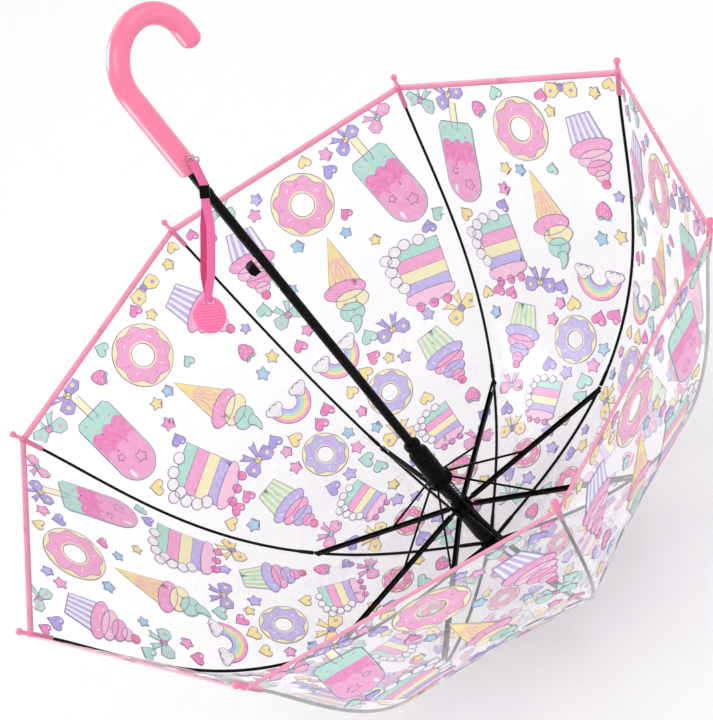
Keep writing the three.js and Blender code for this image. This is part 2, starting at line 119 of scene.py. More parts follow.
class Look:
    """A material: sockets set here are the same all over, and driven ones change across the piece."""

    def __init__(self, name, color, roughness, **sockets):
        self.material = bpy.data.materials.new(name)
        self.material.use_nodes = True
        self.tree = self.material.node_tree
        self.inputs = self.tree.nodes["Principled BSDF"].inputs
        self.inputs["Base Color"].default_value = (*color, 1)
        self.inputs["Roughness"].default_value = roughness
        for socket, value in sockets.items():
            self.inputs[socket.replace("_", " ")].default_value = value

    def node(self, kind, sources=None, **values):
        """A node with its inputs linked to sources or set to values."""
        node = self.tree.nodes.new("ShaderNode" + kind)
        for socket, source in (sources or {}).items():
            self.tree.links.new(source, node.inputs[socket])
        for socket, value in values.items():
            node.inputs[socket].default_value = value
        return node

    def place(self):
        return self.node("TexCoord").outputs["Object"]

    def noise(self, scale, detail=4, stretch=(1, 1, 1)):
        """Noise in object space, its scale in waves per metre."""
        mapping = self.node("Mapping", {"Vector": self.place()}, Scale=stretch)
        waves = self.node("TexNoise", {"Vector": mapping.outputs["Vector"]}, Scale=scale, Detail=detail)
        return waves.outputs["Fac"]

    def ramp(self, value, *stops):
        """Colours, or greys given as one number, along a value."""
        node = self.node("ValToRGB", {"Fac": value})
        elements = node.color_ramp.elements
        while len(elements) < len(stops):
            elements.new(0.5)
        for element, (position, color) in zip(elements, stops):
            element.position = position
            element.color = (*color, 1) if isinstance(color, tuple) else (color, color, color, 1)
        return node.outputs["Color"]

    def combined(self, operation, a, b):
        node = self.node("Math", {0: a, 1: b})
        node.operation = operation
        node.use_clamp = operation == "ADD"
        return node.outputs[0]

    def drive(self, socket, value, *stops):
        """Links a value to one of the main shader's sockets, through a ramp if it has stops."""
        self.tree.links.new(self.ramp(value, *stops) if stops else value, self.inputs[socket])

    def bump(self, height, strength, distance):
        node = self.node("Bump", {"Height": height}, Strength=strength, Distance=distance)
        self.drive("Normal", node.outputs["Normal"])


def moulded(name, color, roughness, shade=0.88, grain=900, depth=0.00004, **sockets):
    """Injection-moulded plastic: a little uneven in colour and gloss, with a fine orange peel."""
    look = Look(name, color, roughness, **sockets)
    look.drive("Base Color", look.noise(22), (0.3, shaded(color, shade)), (0.7, color))
    look.drive("Roughness", look.noise(60), (0.35, roughness * 0.8), (0.7, roughness * 1.25))
    look.bump(look.noise(grain, 2), 0.25, depth)
    return look.material


def painted(name, color, roughness):
    """Black enamel on wire: fine grain, with worn, paler flecks."""
    look = Look(name, color, roughness, Specular_IOR_Level=0.08)
    flecks = look.noise(420, 6)
    worn = tuple(min(1, c * 2.6 + 0.008) for c in color)
    look.drive("Base Color", flecks, (0.55, color), (0.8, worn))
    look.drive("Roughness", look.noise(90), (0.3, roughness * 0.7), (0.75, roughness * 1.4))
    look.bump(flecks, 0.3, 0.00006)
    return look.material


def metal(name, color, roughness):
    """Drawn spring steel with streaks along it."""
    look = Look(name, color, roughness, Metallic=1.0)
    streaks = look.noise(300, 4, (1, 1, 0.15))
    look.drive("Base Color", streaks, (0.3, shaded(color, 0.72)), (0.7, color))
    look.bump(streaks, 0.2, 0.00003)
    return look.material


def webbing(name, color):
    """Woven tape: ribs across and along, slightly fuzzy, darker in the hollows between the threads as painted
    shade.
    """
    look = Look(name, color, 0.7, Sheen_Weight=0.35, Sheen_Roughness=0.5)
    waves = []
    for direction in ("X", "Z"):
        wave = look.node("TexWave", {"Vector": look.place()}, Scale=380, Distortion=1.5)
        wave.bands_direction = direction
        waves.append(wave.outputs["Fac"])
    weave = look.combined("MULTIPLY", *waves)
    # The weave's low places take a darker pink: painted shade between the threads.
    look.drive("Base Color", weave, (0.0, shaded(color, 0.75)), (0.6, color))
    look.bump(weave, 0.6, 0.0002)
    return look.material


# The second colour is painted shade for the film near the crown; the glow is painted light, since the film is
# no lamp.
FILM_COLOR, CROWN_SHADE_COLOR, FILM_GLOW = (0.96, 0.95, 0.97), (0.62, 0.56, 0.64), 0.22


def film(name):
    """Clear vinyl: nearly invisible face on, milky and glossy at a glancing angle, softly rippled. The milky
    look at a glancing angle is painted reflection, the thin streaks are creases painted as pale highlights,
    the grey-mauve blotches near the crown are painted shade, and the faint white emission is painted glow.
    """
    # The faint white emission is painted glow: the film gives off no light of its own.
    look = Look(name, FILM_COLOR, 0.08, IOR=1.5, Specular_IOR_Level=0.7, Coat_Weight=0.5,
                Emission_Color=(1, 0.98, 1, 1), Emission_Strength=FILM_GLOW)
    # Alpha rising at a glancing angle whitens the film there, standing in for reflection: painted reflection.
    facing = look.node("LayerWeight", Blend=0.35).outputs["Facing"]
    glance = look.ramp(facing, (0.0, 0.04), (0.4, 0.09), (0.62, 0.34), (0.85, 0.48), (1.0, 0.55))
    # Thin bands of extra alpha stand for creases in the film, their paleness painted highlight.
    crease = look.ramp(look.noise(34, 5, (1, 1, 2.2)), (0.42, 0.0), (0.5, 0.05), (0.58, 0.0))
    # Grey-mauve blotches, thickest near the crown, are painted shade.
    height = look.node("SeparateXYZ", {"Vector": look.place()}).outputs["Z"]
    near_crown = look.ramp(height, (0.07, 1.0), (0.2, 0.12))
    blotch = look.ramp(look.noise(21, 3, (1, 1, 0.6)), (0.5, 0.0), (0.57, 0.3))
    crown_shade = look.combined("MULTIPLY", near_crown, blotch)
    look.drive("Alpha", look.combined("ADD", look.combined("ADD", glance, crease), crown_shade))
    look.drive("Base Color", crown_shade, (0.0, FILM_COLOR), (0.3, CROWN_SHADE_COLOR))
    look.bump(look.noise(30, 3), 0.5, 0.002)
    return look.material


def ink(name, color):
    """Screen-printed ink on the film: flat, faintly mottled, with a soft gloss."""
    look = Look(name, color, 0.4, Alpha=0.94)
    pale = tuple(c + (1 - c) * 0.22 for c in color)
    look.drive("Base Color", look.noise(240, 3), (0.35, color), (0.75, pale))
    return look.material


NEAR_BLACK = (0.003, 0.0028, 0.003)
PINK = moulded("pink plastic", srgb(250, 124, 162), 0.28, 0.93, Coat_Weight=0.5, Coat_Roughness=0.14)
TIP = moulded("tip plastic", srgb(243, 134, 174), 0.34, 0.9)
TIP_SLEEVE = moulded("tip plastic over the wire", srgb(218, 124, 162), 0.34, 0.86)
BLACK = moulded("black plastic", NEAR_BLACK, 0.32, Specular_IOR_Level=0.06)
ENAMEL = painted("black enamel", NEAR_BLACK, 0.34)
STEEL = metal("spring steel", (0.62, 0.55, 0.48), 0.24)
FILM = film("clear film")
HEM = moulded("hem vinyl", srgb(250, 158, 190), 0.34, 0.88, 260, 0.0002)
TAPE = webbing("pink tape", srgb(248, 112, 172))
# A darker copy of the tape's pink for the back run and the inner face: painted shade behind and between the
# tape's layers.
TAPE_IN_SHADE = webbing("pink tape in painted shade", srgb(222, 52, 124))
DISC = moulded("disc plastic", srgb(252, 118, 172), 0.3, 0.92)

# ---- mesh helpers: a part is a list of vertices and a list of faces ----


def turns(n):
    """Angles of n even steps round a circle."""
    return [2 * pi * k / n for k in range(n)]


def skin(rings, caps=True, closed=True, looped=False):
    """Quads between rings of points, with a face on each end, or looped from the last ring to the first."""
    n, count = len(rings[0]), len(rings)
    faces = []
    for i in range(count if looped else count - 1):
        a, b = i * n, (i + 1) % count * n
        faces += [(a + j, a + (j + 1) % n, b + (j + 1) % n, b + j) for j in range(n if closed else n - 1)]
    if caps and not looped:
        last = (count - 1) * n
        faces += [tuple(reversed(range(n))), tuple(range(last, last + n))]
    return [Vector(p) for ring in rings for p in ring], faces


def piece(name, vertices, faces, material, body, smooth=True, slots=None, picks=None):
    """A mesh object riding on a body. slots and picks give it several materials."""
    mesh = bpy.data.meshes.new(name)
    mesh.from_pydata([tuple(v) for v in vertices], [], faces)
    for each in slots or [material]:
        mesh.materials.append(each)
    if picks is not None:
        mesh.polygons.foreach_set("material_index", picks)
    mesh.polygons.foreach_set("use_smooth", [smooth] * len(mesh.polygons))
    mesh.validate()
    mesh.update()
    made = linked(name, mesh)
    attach(made, body)
    return made


def tube(points, radii, sides=16):
    """Round tube through points, with a radius at each."""
    points = [Vector(p) for p in points]
    if not hasattr(radii, "__len__"):
        radii = [radii] * len(points)
    side, rings = None, []
    for i, p in enumerate(points):
        along = (points[min(i + 1, len(points) - 1)] - points[max(i - 1, 0)]).normalized()
        if side is None:
            side = along.orthogonal().normalized()
        side = (side - side.dot(along) * along).normalized()
        other = along.cross(side)
        rings.append([p + radii[i] * (cos(a) * side + sin(a) * other) for a in turns(sides)])
    return skin(rings)


def turned(outline, place=Matrix(), sides=48):
    """Turned part about Z from an (r, z) outline, placed by a matrix."""
    vertices, faces, rows = [], [], []
    for r, z in outline:
        angles = turns(sides) if r > 1e-7 else [0]
        rows.append(list(range(len(vertices), len(vertices) + len(angles))))
        vertices += [place @ Vector((r * cos(a), r * sin(a), z)) for a in angles]
    for low, high in zip(rows, rows[1:]):
        for k in range(sides):
            quad = [low[k % len(low)], low[(k + 1) % len(low)],
                    high[(k + 1) % len(high)], high[k % len(high)]]
            face = [v for i, v in enumerate(quad) if v not in quad[:i]]
            if len(face) > 2:
                faces.append(tuple(face))
    return vertices, faces


def crease(made, angle):
    """Sharp edges where faces meet at more than an angle, so that smooth shading keeps them."""
    work = bmesh.new()
    work.from_mesh(made.data)
    for edge in work.edges:
        flat = len(edge.link_faces) != 2 or edge.calc_face_angle(0) > radians(angle)
        edge.smooth = not flat
    work.to_mesh(made.data)
    work.free()


def bevelled(made, width):
    """Rounds the piece's sharp edges and applies it."""
    modifier = made.modifiers.new("bevel", "BEVEL")
    modifier.width = width
    modifier.segments = 3
    modifier.limit_method = "ANGLE"
    modifier.angle_limit = radians(30)
    made.modifiers.new("normals", "WEIGHTED_NORMAL").keep_sharp = True
    depsgraph = bpy.context.evaluated_depsgraph_get()
    mesh = bpy.data.meshes.new_from_object(made.evaluated_get(depsgraph))
    made.modifiers.clear()
    made.data = mesh


# ---- the rib's curve, as in the CAD model ----

RIBS = 8
FIRST_AZIMUTH = 22.5
RIM = (0.350, 0.333)
RIB_LENGTH = 0.4785
RIB_LEAN = (29.3, 32.3, 65.4, 82.4)
JOINT_SHARE = 0.652
HALF_GORE = radians(180 / RIBS)
ROWS = 44
JOINT_ROW = round(JOINT_SHARE * ROWS)


def rib_lean(s):
    """Lean from the shaft, in radians, at a share s of the rib's length from the rim."""
    t = 3 * s
    a, b, c, d = RIB_LEAN
    first = -a * (t - 1) * (t - 2) * (t - 3) / 6 + b * t * (t - 2) * (t - 3) / 2
    second = -c * t * (t - 1) * (t - 3) / 2 + d * t * (t - 1) * (t - 2) / 6
    return radians(first + second)


FINE = 880
track = [RIM]
for i in range(FINE):
    lean = rib_lean((i + 0.5) / FINE)
    step = RIB_LENGTH / FINE
    track.append((track[-1][0] - step * sin(lean), track[-1][1] - step * cos(lean)))
track = np.array(track)


def rib_point(s, offset=0.0):
    """(r, z) of the rib at a share s, pushed out of the dome by an offset."""
    r = np.interp(s * FINE, range(FINE + 1), track[:, 0])
    z = np.interp(s * FINE, range(FINE + 1), track[:, 1])
    return r + offset * cos(rib_lean(s)), z - offset * sin(rib_lean(s))


def azimuth(k):
    return radians(FIRST_AZIMUTH + k * 360 / RIBS)


def around(r, z, a, across=0.0):
    """Point at radius r in the direction a, moved across it."""
    return Vector((r * cos(a) - across * sin(a), r * sin(a) + across * cos(a), z))


# ---- canopy film ----

FILM_OFFSET = 0.0017
rows = [rib_point(i / ROWS, FILM_OFFSET) for i in range(ROWS + 1)]
SAG = 0.0035
SAG_FROM_RIM, SAG_FROM_CROWN = 0.06, 0.1


def gore_point(v, u, gore, lift=0.0):
    """Film point v metres from the rim and u across from the middle of a gore, lifted outwards."""
    at = min(max(v / RIB_LENGTH * ROWS, 0), ROWS - 1e-6)
    i = int(at)
    (r0, z0), (r1, z1) = rows[i], rows[i + 1]
    r, z = r0 + (r1 - r0) * (at - i), z0 + (z1 - z0) * (at - i)
    long = hypot(r1 - r0, z1 - z0)
    out, down = (z0 - z1) / long, (r0 - r1) / long
    half = r * sin(HALF_GORE)
    share = max(0.0, 1 - (u / half) ** 2) if half else 0
    edge = min(1, v / SAG_FROM_RIM) * min(1, max(0, RIB_LENGTH - v) / SAG_FROM_CROWN)
    push = lift - SAG * share * edge
    middle = azimuth(gore) + HALF_GORE
    return around(r * cos(HALF_GORE) + push * out, z - push * down, middle, u)


def gore_half(v):
    """Half the gore's width at v metres from the rim."""
    at = min(max(v / RIB_LENGTH * ROWS, 0), ROWS)
    return np.interp(at, range(ROWS + 1), [r for r, _ in rows]) * sin(HALF_GORE)


COLUMNS = 8
STRIPS = (("outer", 0, JOINT_ROW), ("inner", JOINT_ROW, ROWS))


def beside(k, columns):
    """Gores and shares of their half widths, in columns across both gores beside rib k."""
    for c in range(-columns, columns + 1):
        yield (k, c / columns - 1) if c >= 0 else (k - 1, c / columns + 1)


def film_strip(k, first, last):
    """Film from row first to row last, on both sides of rib k, out to the middles of its gores."""
    rings = []
    for i in range(first, last + 1):
        v = RIB_LENGTH * i / ROWS
        half = gore_half(v)
        rings.append([gore_point(v, half * share, gore) for gore, share in beside(k, COLUMNS)])
    return skin(rings, caps=False, closed=False)


def fold(made, k, part):
    """Gives the piece a mesh of its own, and looks up its rib's joint and where that joint is."""
    joint = joints[("rib_flex_%d" if part == "outer" else "rib_fold_%d") % (k + 1)]
    anchor = tuple(joint["pos_m"])
    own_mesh(made)


for k in range(RIBS):
    for part, first, last in STRIPS:
        end = "%s_%d" % (part, k + 1)
        made = piece("film_" + end, *film_strip(k, first, last), FILM, "rib_" + end)
        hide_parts("canopy")
        fold(made, k, part)

# ---- hem ----

HEM_WIDTH, HEM_COLUMNS = 0.0052, 12
HEM_SECTION = ((HEM_WIDTH, 0.0007), (0.0004, 0.0009), (-0.0008, 0.0), (0.0004, -0.0009),
               (HEM_WIDTH, -0.0007))


def hem_strip(k):
    """Folded edging on the rim, from the middle of one gore round tip k to the middle of the next."""
    rings = [[gore_point(max(v, 0), gore_half(max(v, 0)) * share, gore, lift) + Vector((0, 0, -min(v, 0)))
              for v, lift in HEM_SECTION] for gore, share in beside(k, HEM_COLUMNS)]
    vertices, faces = skin(rings, caps=False)
    start, end = range(len(HEM_SECTION)), range(len(vertices) - len(HEM_SECTION), len(vertices))
    return vertices, faces + [tuple(start), tuple(reversed(end))]


for k in range(RIBS):
    made = piece("hem_%d" % (k + 1), *hem_strip(k), HEM, "rib_outer_%d" % (k + 1))
    fold(made, k, "outer")

# ---- printed sweets, hearts, stars and bows, in millimetres across and up ----

COLORS = {
    "pink": srgb(245, 128, 194),
    "rose": srgb(251, 166, 214),
    "blush": srgb(253, 202, 228),
    "lilac": srgb(174, 158, 230),
    "lavender": srgb(196, 184, 241),
    "mint": srgb(180, 231, 216),
    "sky": srgb(166, 212, 240),
    "cream": srgb(253, 233, 150),
    "butter": srgb(253, 245, 194),
    "white": srgb(252, 250, 253),
    "line": srgb(134, 104, 158),
    "red": srgb(244, 116, 172),
}
INKS = {name: ink("ink " + name, color) for name, color in COLORS.items()}
INK_ORDER = list(INKS)
LAYER = 0.00006
OUTLINE = 0.75


class Sketch:
    """Flat shapes, each with an ink and a layer above the film."""

    def __init__(self):
        self.shapes = []

    def fill(self, points, color, layer=1):
        self.shapes.append(([tuple(p) for p in points], None, color, layer))

    def line(self, points, color="line", layer=3, width=OUTLINE, closed=True):
        self.shapes.append(([tuple(p) for p in points], (width, closed), color, layer))

    def shape(self, points, color, layer=1):
        """Filled, with an outline."""
        self.fill(points, color, layer)
        self.line(points, layer=layer + 2)

    def band(self, outer, inner, color, layer, closed=True):
        """Fills between two lines of points, one inside the other."""
        n = len(outer)
        for i in range(n if closed else n - 1):
            j = (i + 1) % n
            self.fill([outer[i], outer[j], inner[j], inner[i]], color, layer)

    def placed(self, other, x, y, turn=0.0, scale=1.0):
        """Adds another sketch, turned by degrees and scaled, at x, y."""
        c, s = cos(radians(turn)) * scale, sin(radians(turn)) * scale
        for points, stroke, color, layer in other.shapes:
            moved = [(x + c * px - s * py, y + s * px + c * py) for px, py in points]
            self.shapes.append((moved, stroke, color, layer))


def oval(x, y, rx, ry, n=28, start=0, end=360):
    full = end - start == 360
    steps = n if full else n + 1
    return [(x + rx * cos(radians(start + (end - start) * i / n)),
             y + ry * sin(radians(start + (end - start) * i / n))) for i in range(steps)]


def scallop(x0, x1, y, depth, count, n=7):
    """A row of drips hanging below y, from right to left."""
    wide = (x1 - x0) / count / 2
    drips = [(x1 - wide * (2 * i + 1 - cos(pi * j / n)), y - depth * sin(pi * j / n))
             for i in range(count) for j in range(n)]
    return drips + [(x0, y)]


def heart(color):
    art = Sketch()
    points = [(0.55 * 16 * sin(t) ** 3, 0.55 * (13 * cos(t) - 5 * cos(2 * t) - 2 * cos(3 * t) - cos(4 * t)))
              for t in turns(26)]
    art.shape(points, color)
    art.fill(oval(-4, 3.4, 1.6, 1.1, 10), "white", 2)
    return art


def star(color):
    art = Sketch()
    points = [(r * cos(a), r * sin(a)) for r, a in
              ((9 if i % 2 == 0 else 4.6, radians(90 + 36 * i)) for i in range(10))]
    soft = [(x * 0.8 + other[0] * 0.2, y * 0.8 + other[1] * 0.2)
            for i, (x, y) in enumerate(points) for other in (points[i - 1], points[(i + 1) % 10])]
    art.shape(soft, color)
    return art


def bow(color, spot):
    art = Sketch()
    for side in (-1, 1):
        wing = [(0, 2), (side * 9, 10), (side * 17, 9), (side * 19, 2), (side * 16, -5), (side * 7, -4),
                (0, -1)]
        tail = [(side * 1, -2), (side * 6, -5), (side * 13, -15), (side * 8, -13), (side * 5, -16)]
        art.shape(wing, color)
        art.shape(tail, color)
        art.fill(oval(side * 12, 3, 2.1, 2.1, 12), spot, 2)
    art.shape(oval(0, 0, 3.6, 4, 16), spot, 2)
    return art


def strawberry():
    art = Sketch()
    body = [(0, -12), (6, -7), (9.5, 0), (8, 6), (0, 8), (-8, 6), (-9.5, 0), (-6, -7)]
    art.shape(rounded(body), "pink")
    for x, y in ((-4, 2), (0, -1), (4, 2), (-2, -6), (2.6, -5), (0, 4.5)):
        art.fill(oval(x, y, 0.7, 1.1, 8), "butter", 2)
    art.shape([(0, 6), (4, 9), (8, 8), (5, 5.4), (0, 4.4), (-5, 5.4), (-8, 8), (-4, 9)], "mint", 2)
    return art


def rounded(points, times=2):
    """A closed outline with its corners cut off, so that it looks round."""
    for _ in range(times):
        soft = []
        for i, (x, y) in enumerate(points):
            nx, ny = points[(i + 1) % len(points)]
            soft.append((0.75 * x + 0.25 * nx, 0.75 * y + 0.25 * ny))
            soft.append((0.25 * x + 0.75 * nx, 0.25 * y + 0.75 * ny))
        points = soft
    return points


def sprinkles(art, spots, colors, layer=4):
    for i, (x, y) in enumerate(spots):
        a = radians(47 * i)
        dx, dy = 1.5 * cos(a), 1.5 * sin(a)
        art.line([(x - dx, y - dy), (x + dx, y + dy)], colors[i % len(colors)], layer, 1.1, False)


def lolly():
    """Ice lolly in three bands with a bite of drips and a stick."""
    art = Sketch()
    art.shape([(-3, -46), (3, -46), (3, -26), (-3, -26)], "butter", 0)
    body = oval(0, 16, 16, 18, 20, 0, 180) + [(-16, -27), (-13, -31), (13, -31), (16, -27)]
    art.shape(body, "mint")
    top = oval(0, 16, 15.2, 17.2, 20, 0, 180) + scallop(-15.2, 15.2, 6, 6, 3)[::-1][1:]
    art.fill(top, "rose", 2)
    band = [(15.2, 6), (-15.2, 6), (-15.2, -12)] + scallop(-15.2, 15.2, -12, 5, 3)[::-1][1:]
    art.fill(band, "pink", 1.5)
    art.placed(star("butter"), -5, 19, 10, 0.62)
    art.placed(star("white"), 7, 9, -14, 0.4)
    art.fill(oval(9, 24, 1.5, 4, 12), "white", 3)
    sprinkles(art, [(-9, -20), (-2, -25), (5, -20), (10, -26), (0, -17)], ["pink", "lilac", "cream"])
    return art


def doughnut(icing, dough, bits):
    art = Sketch()
    ring(art, 24, 9, dough, 1)
    wavy = [((21 + 1.6 * sin(8 * t)) * cos(t), (21 + 1.6 * sin(8 * t)) * sin(t)) for t in turns(56)]
    art.band(wavy, oval(0, 0, 10.6, 10.6, 56), icing, 2)
    art.line(wavy, layer=4, width=0.5)
    spots = [(15.5 * cos(t), 15.5 * sin(t)) for t in (0.3 + i * 0.52 for i in range(12))]
    sprinkles(art, spots, bits, 5)
    return art


def ring(art, outer, inner, color, layer, n=56):
    out, hole = oval(0, 0, outer, outer, n), oval(0, 0, inner, inner, n)
    art.band(out, hole, color, layer)
    art.line(out, layer=layer + 2)
    art.line(hole, layer=layer + 3)


def cupcake(swirl, cup, stripe):
    art = Sketch()
    base = [(-15, -4), (15, -4), (10.5, -26), (-10.5, -26)]
    art.shape(base, cup)
    for i in range(-2, 3):
        art.fill([(i * 6 - 1.4, -4.4), (i * 6 + 1.4, -4.4), (i * 4.4 + 1, -25.6), (i * 4.4 - 1, -25.6)],
                 stripe, 2)
    for y, w, h, color in ((0, 19, 7, swirl[0]), (8, 15, 6.5, swirl[1]), (15.5, 10.5, 6, swirl[0]),
                           (22, 6, 4.6, swirl[1])):
        art.shape(oval(0, y, w, h, 26), color, 3 + y / 8)
    art.shape(oval(0, 28.5, 3.6, 3.6, 16), "red", 8)
    sprinkles(art, [(-10, 1), (-3, -1), (5, 2), (11, 0), (-6, 9), (3, 8), (8, 10), (0, 16)],
              ["white", "cream", "pink"], 7)
    return art


def cone(scoops):
    """Waffle cone with a curl of soft ice."""
    art = Sketch()
    art.shape([(-13, 0), (13, 0), (0, -40)], "cream")
    for t in (0.2, 0.4, 0.6, 0.8):
        x = -13 + 26 * t
        for end in ((x / 2 + 6.5 * (1 - t), -20 - 4 * (1 - t)), (x / 2 - 6.5 * t, -20 - 4 * t)):
            art.line([(x, -0.4), end], "rose", 2, 0.9, False)
    for i, color in enumerate(scoops):
        art.shape(oval(1.5 * (-1) ** i, 4 + 9 * i, 17 - 3.6 * i, 7.6, 26), color, 3 + i)
    top = 4 + 9 * len(scoops)
    art.shape(rounded([(-5, top - 6), (6, top - 5), (3, top + 2), (6, top + 9), (-2, top + 4)]),
              scoops[-1], 8)
    sprinkles(art, [(-8, 4), (0, 2), (8, 5), (-4, 13), (5, 14), (0, 22)], ["white", "pink", "lilac"], 9)
    return art


def cake():
    """Slice of layer cake, with a cloud of cream on one side."""
    art = Sketch()
    layers = ("lavender", "butter", "rose", "mint")
    for i, color in enumerate(layers):
        y = 15 - 9 * i
        art.fill([(-19, y), (15, y + 1), (15, y - 8), (-19, y - 9)], color, 1)
        art.line([(-19, y - 9), (15, y - 8)], "line", 3, 0.5, False)
    art.line([(-19, 15), (15, 16), (15, -20), (-19, -21)])
    art.shape(rounded([(-20, 13), (16, 14), (17, 21), (6, 25), (-8, 24), (-20, 20)]), "blush", 4)
    for x in (-12, -2, 8):
        art.shape(oval(x, 25, 3.2, 3.4, 14), "pink", 5)
    for x, y in ((16, -12), (20, -6), (19, 2), (15, 8), (21, -15), (13, -19), (5, -22), (-6, -22)):
        art.shape(oval(x, y, 4.4, 4, 14), "white", 5)
    return art


def rainbow():
    """Rainbow on two clouds."""
    art = Sketch()
    arcs = [oval(0, 0, r, r, 24, 0, 180) for r in (27, 23, 19, 15, 11)]
    for outer, inner, color in zip(arcs, arcs[1:], ("rose", "cream", "mint", "lavender")):
        art.band(outer, inner, color, 1, False)
    art.line(arcs[0], closed=False)
    art.line(arcs[-1], closed=False)
    for side in (-1, 1):
        for x, y, r in ((19, -2, 7), (25, -3, 5.5), (13, -3, 5.5), (19, 3, 5.5)):
            art.shape(oval(side * x, y, r, r * 0.85, 16), "white", 4)
        art.fill(oval(side * 19, -1, 9, 5, 16), "white", 7)
    return art


# Each is (motif, across, up from the rim, degrees, scale, the room that it takes).
LARGE = [
    (lolly(), -78, 80, 8, 1.3, 46),
    (doughnut("rose", "butter", ["white", "mint", "lilac"]), 8, 50, 0, 1.32, 34),
    (cupcake(("rose", "blush"), "lavender", "white"), 83, 72, -10, 1.3, 40),
    (cone(("rose", "butter", "mint")), 16, 142, -12, 1.3, 46), (cake(), -56, 170, -12, 1.4, 37),
    (rainbow(), 62, 198, 12, 0.92, 29),
    (cupcake(("lavender", "rose"), "mint", "butter"), -34, 258, 8, 1.15, 33),
    (doughnut("lavender", "butter", ["pink", "white", "mint"]), 32, 262, 0, 1.0, 26),
    (cake(), 2, 324, 6, 0.95, 28),
    (doughnut("pink", "butter", ["white", "mint", "cream"]), 0, 384, 0, 0.68, 19),
]
MEDIUM = [bow("lilac", "cream"), bow("mint", "rose"), strawberry(), bow("cream", "lilac"),
          bow("rose", "mint")]
SMALL = [heart("lilac"), star("cream"), heart("pink"), star("lavender"), heart("mint"), star("rose"),
         heart("cream"), star("sky")]


def gore_art(mirror):
    """All the print on one gore: u across from its middle and v from the rim, in millimetres."""
    art = Sketch()
    taken = []
    for motif, u, v, turn, scale, reach in LARGE:
        u = -u if mirror else u
        art.placed(motif, u, v, -turn if mirror else turn, scale)
        taken.append((u, v, reach))
    pick = random.Random(11 if mirror else 5)
    for motifs, reach, tries in ((MEDIUM, 17, 900), (SMALL, 8.5, 3000)):
        count = 0
        for _ in range(tries):
            v = pick.uniform(12, 440)
            half = gore_half(v * MM) / MM - reach - 3
            if half <= 0:
                continue
            u = pick.uniform(-half, half)
            if all(hypot(u - x, v - y) > reach + r - 1 for x, y, r in taken):
                size = pick.uniform(0.72, 1.0) if reach < 10 else pick.uniform(0.8, 1.0)
                art.placed(motifs[count % len(motifs)], u, v, pick.uniform(-40, 40), size)
                taken.append((u, v, reach))
                count += 1
    return art


def stroke_quads(points, width, closed):
    """Four-sided faces along a line of points, mitred at its corners."""
    n = len(points)
    sides = []
    for i in range(n):
        before = points[i - 1] if closed or i else points[i]
        after = points[(i + 1) % n] if closed or i < n - 1 else points[i]
        dx, dy = after[0] - before[0], after[1] - before[1]
        long = hypot(dx, dy) or 1
        nx, ny = -dy / long * width / 2, dx / long * width / 2
        x, y = points[i]
        sides.append(((x + nx, y + ny), (x - nx, y - ny)))
    for i in range(n if closed else n - 1):
        (a, b), (c, d) = sides[i], sides[(i + 1) % n]
        yield [a, b, d, c]


CELL = 15
MARGIN = 0.0065
PRINT_GAP = 0.00025


def gore_mesh(art):
    """The art as triangles cut along the film's rows and a coarse grid: u, v and height, and an ink each."""
    work = bmesh.new()
    for points, stroke, color, layer in art.shapes:
        outlines = [points] if stroke is None else stroke_quads(points, *stroke)
        for outline in outlines:
            corners = [work.verts.new((x * MM, y * MM, layer * LAYER)) for x, y in outline]
            face = work.faces.new(corners)
            face.material_index = INK_ORDER.index(color)
    bmesh.ops.triangulate(work, faces=work.faces[:])
    cuts = [((0, RIB_LENGTH * i / ROWS, 0), (0, 1, 0)) for i in range(1, ROWS)]
    cuts += [((i * CELL * MM, 0, 0), (1, 0, 0)) for i in range(-8, 9)]
    for point, normal in cuts:
        everything = work.verts[:] + work.edges[:] + work.faces[:]
        bmesh.ops.bisect_plane(work, geom=everything, plane_co=point, plane_no=normal, dist=1e-7)
    bmesh.ops.triangulate(work, faces=work.faces[:])
    work.verts.ensure_lookup_table()
    spots = np.array([v.co for v in work.verts])
    faces = [([v.index for v in f.verts], f.material_index, f.calc_center_median()) for f in work.faces]
    work.free()
    return spots, faces


arts = [gore_mesh(gore_art(mirror)) for mirror in (False, True)]


def print_strip(k, part):
    """Print on both gores beside rib k, on its outer or inner strip of film, seen from both sides."""
    vertices, faces, picks = [], [], []
    cut = RIB_LENGTH * JOINT_ROW / ROWS
    for gore, side in ((k, -1), ((k - 1) % RIBS, 1)):
        spots, shapes = arts[gore % 2]
        number = {}
        for face, color, middle in shapes:
            if middle.x * side < 0 or (middle.y < cut) != (part == "outer"):
                continue
            if abs(middle.x) > gore_half(middle.y) - MARGIN or middle.y < MARGIN:
                continue
            for sign in (-1, 1):
                if sign > 0 and spots[face[0]][2] < 0.9 * LAYER:
                    continue
                corners = []
                for i in face if sign > 0 else reversed(face):
                    if (i, sign) not in number:
                        u, v, height = spots[i]
                        number[i, sign] = len(vertices)
                        vertices.append(gore_point(v, u, gore, sign * (PRINT_GAP + height)))
                    corners.append(number[i, sign])
                faces.append(corners)
                picks.append(color)
    return vertices, faces, picks


for k in range(RIBS):
    for part, _, _ in STRIPS:
        end = "%s_%d" % (part, k + 1)
        vertices, faces, picks = print_strip(k, part)
        made = piece("print_" + end, vertices, faces, None, "rib_" + end,
                     slots=list(INKS.values()), picks=picks)
        fold(made, k, part)

# ---- parts, in millimetres until they are placed ----


def merged(*parts):
    vertices, faces = [], []
    for more, their_faces in parts:
        base = len(vertices)
        vertices += more
        faces += [tuple(i + base for i in face) for face in their_faces]
    return vertices, faces


def moved(part, matrix):
    return [matrix @ Vector(v) for v in part[0]], part[1]


def block(x0, x1, y0, y1, z0, z1):
    ring = [(y0, z0), (y1, z0), (y1, z1), (y0, z1)]
    return skin([[(x, y, z) for y, z in ring] for x in (x0, x1)])


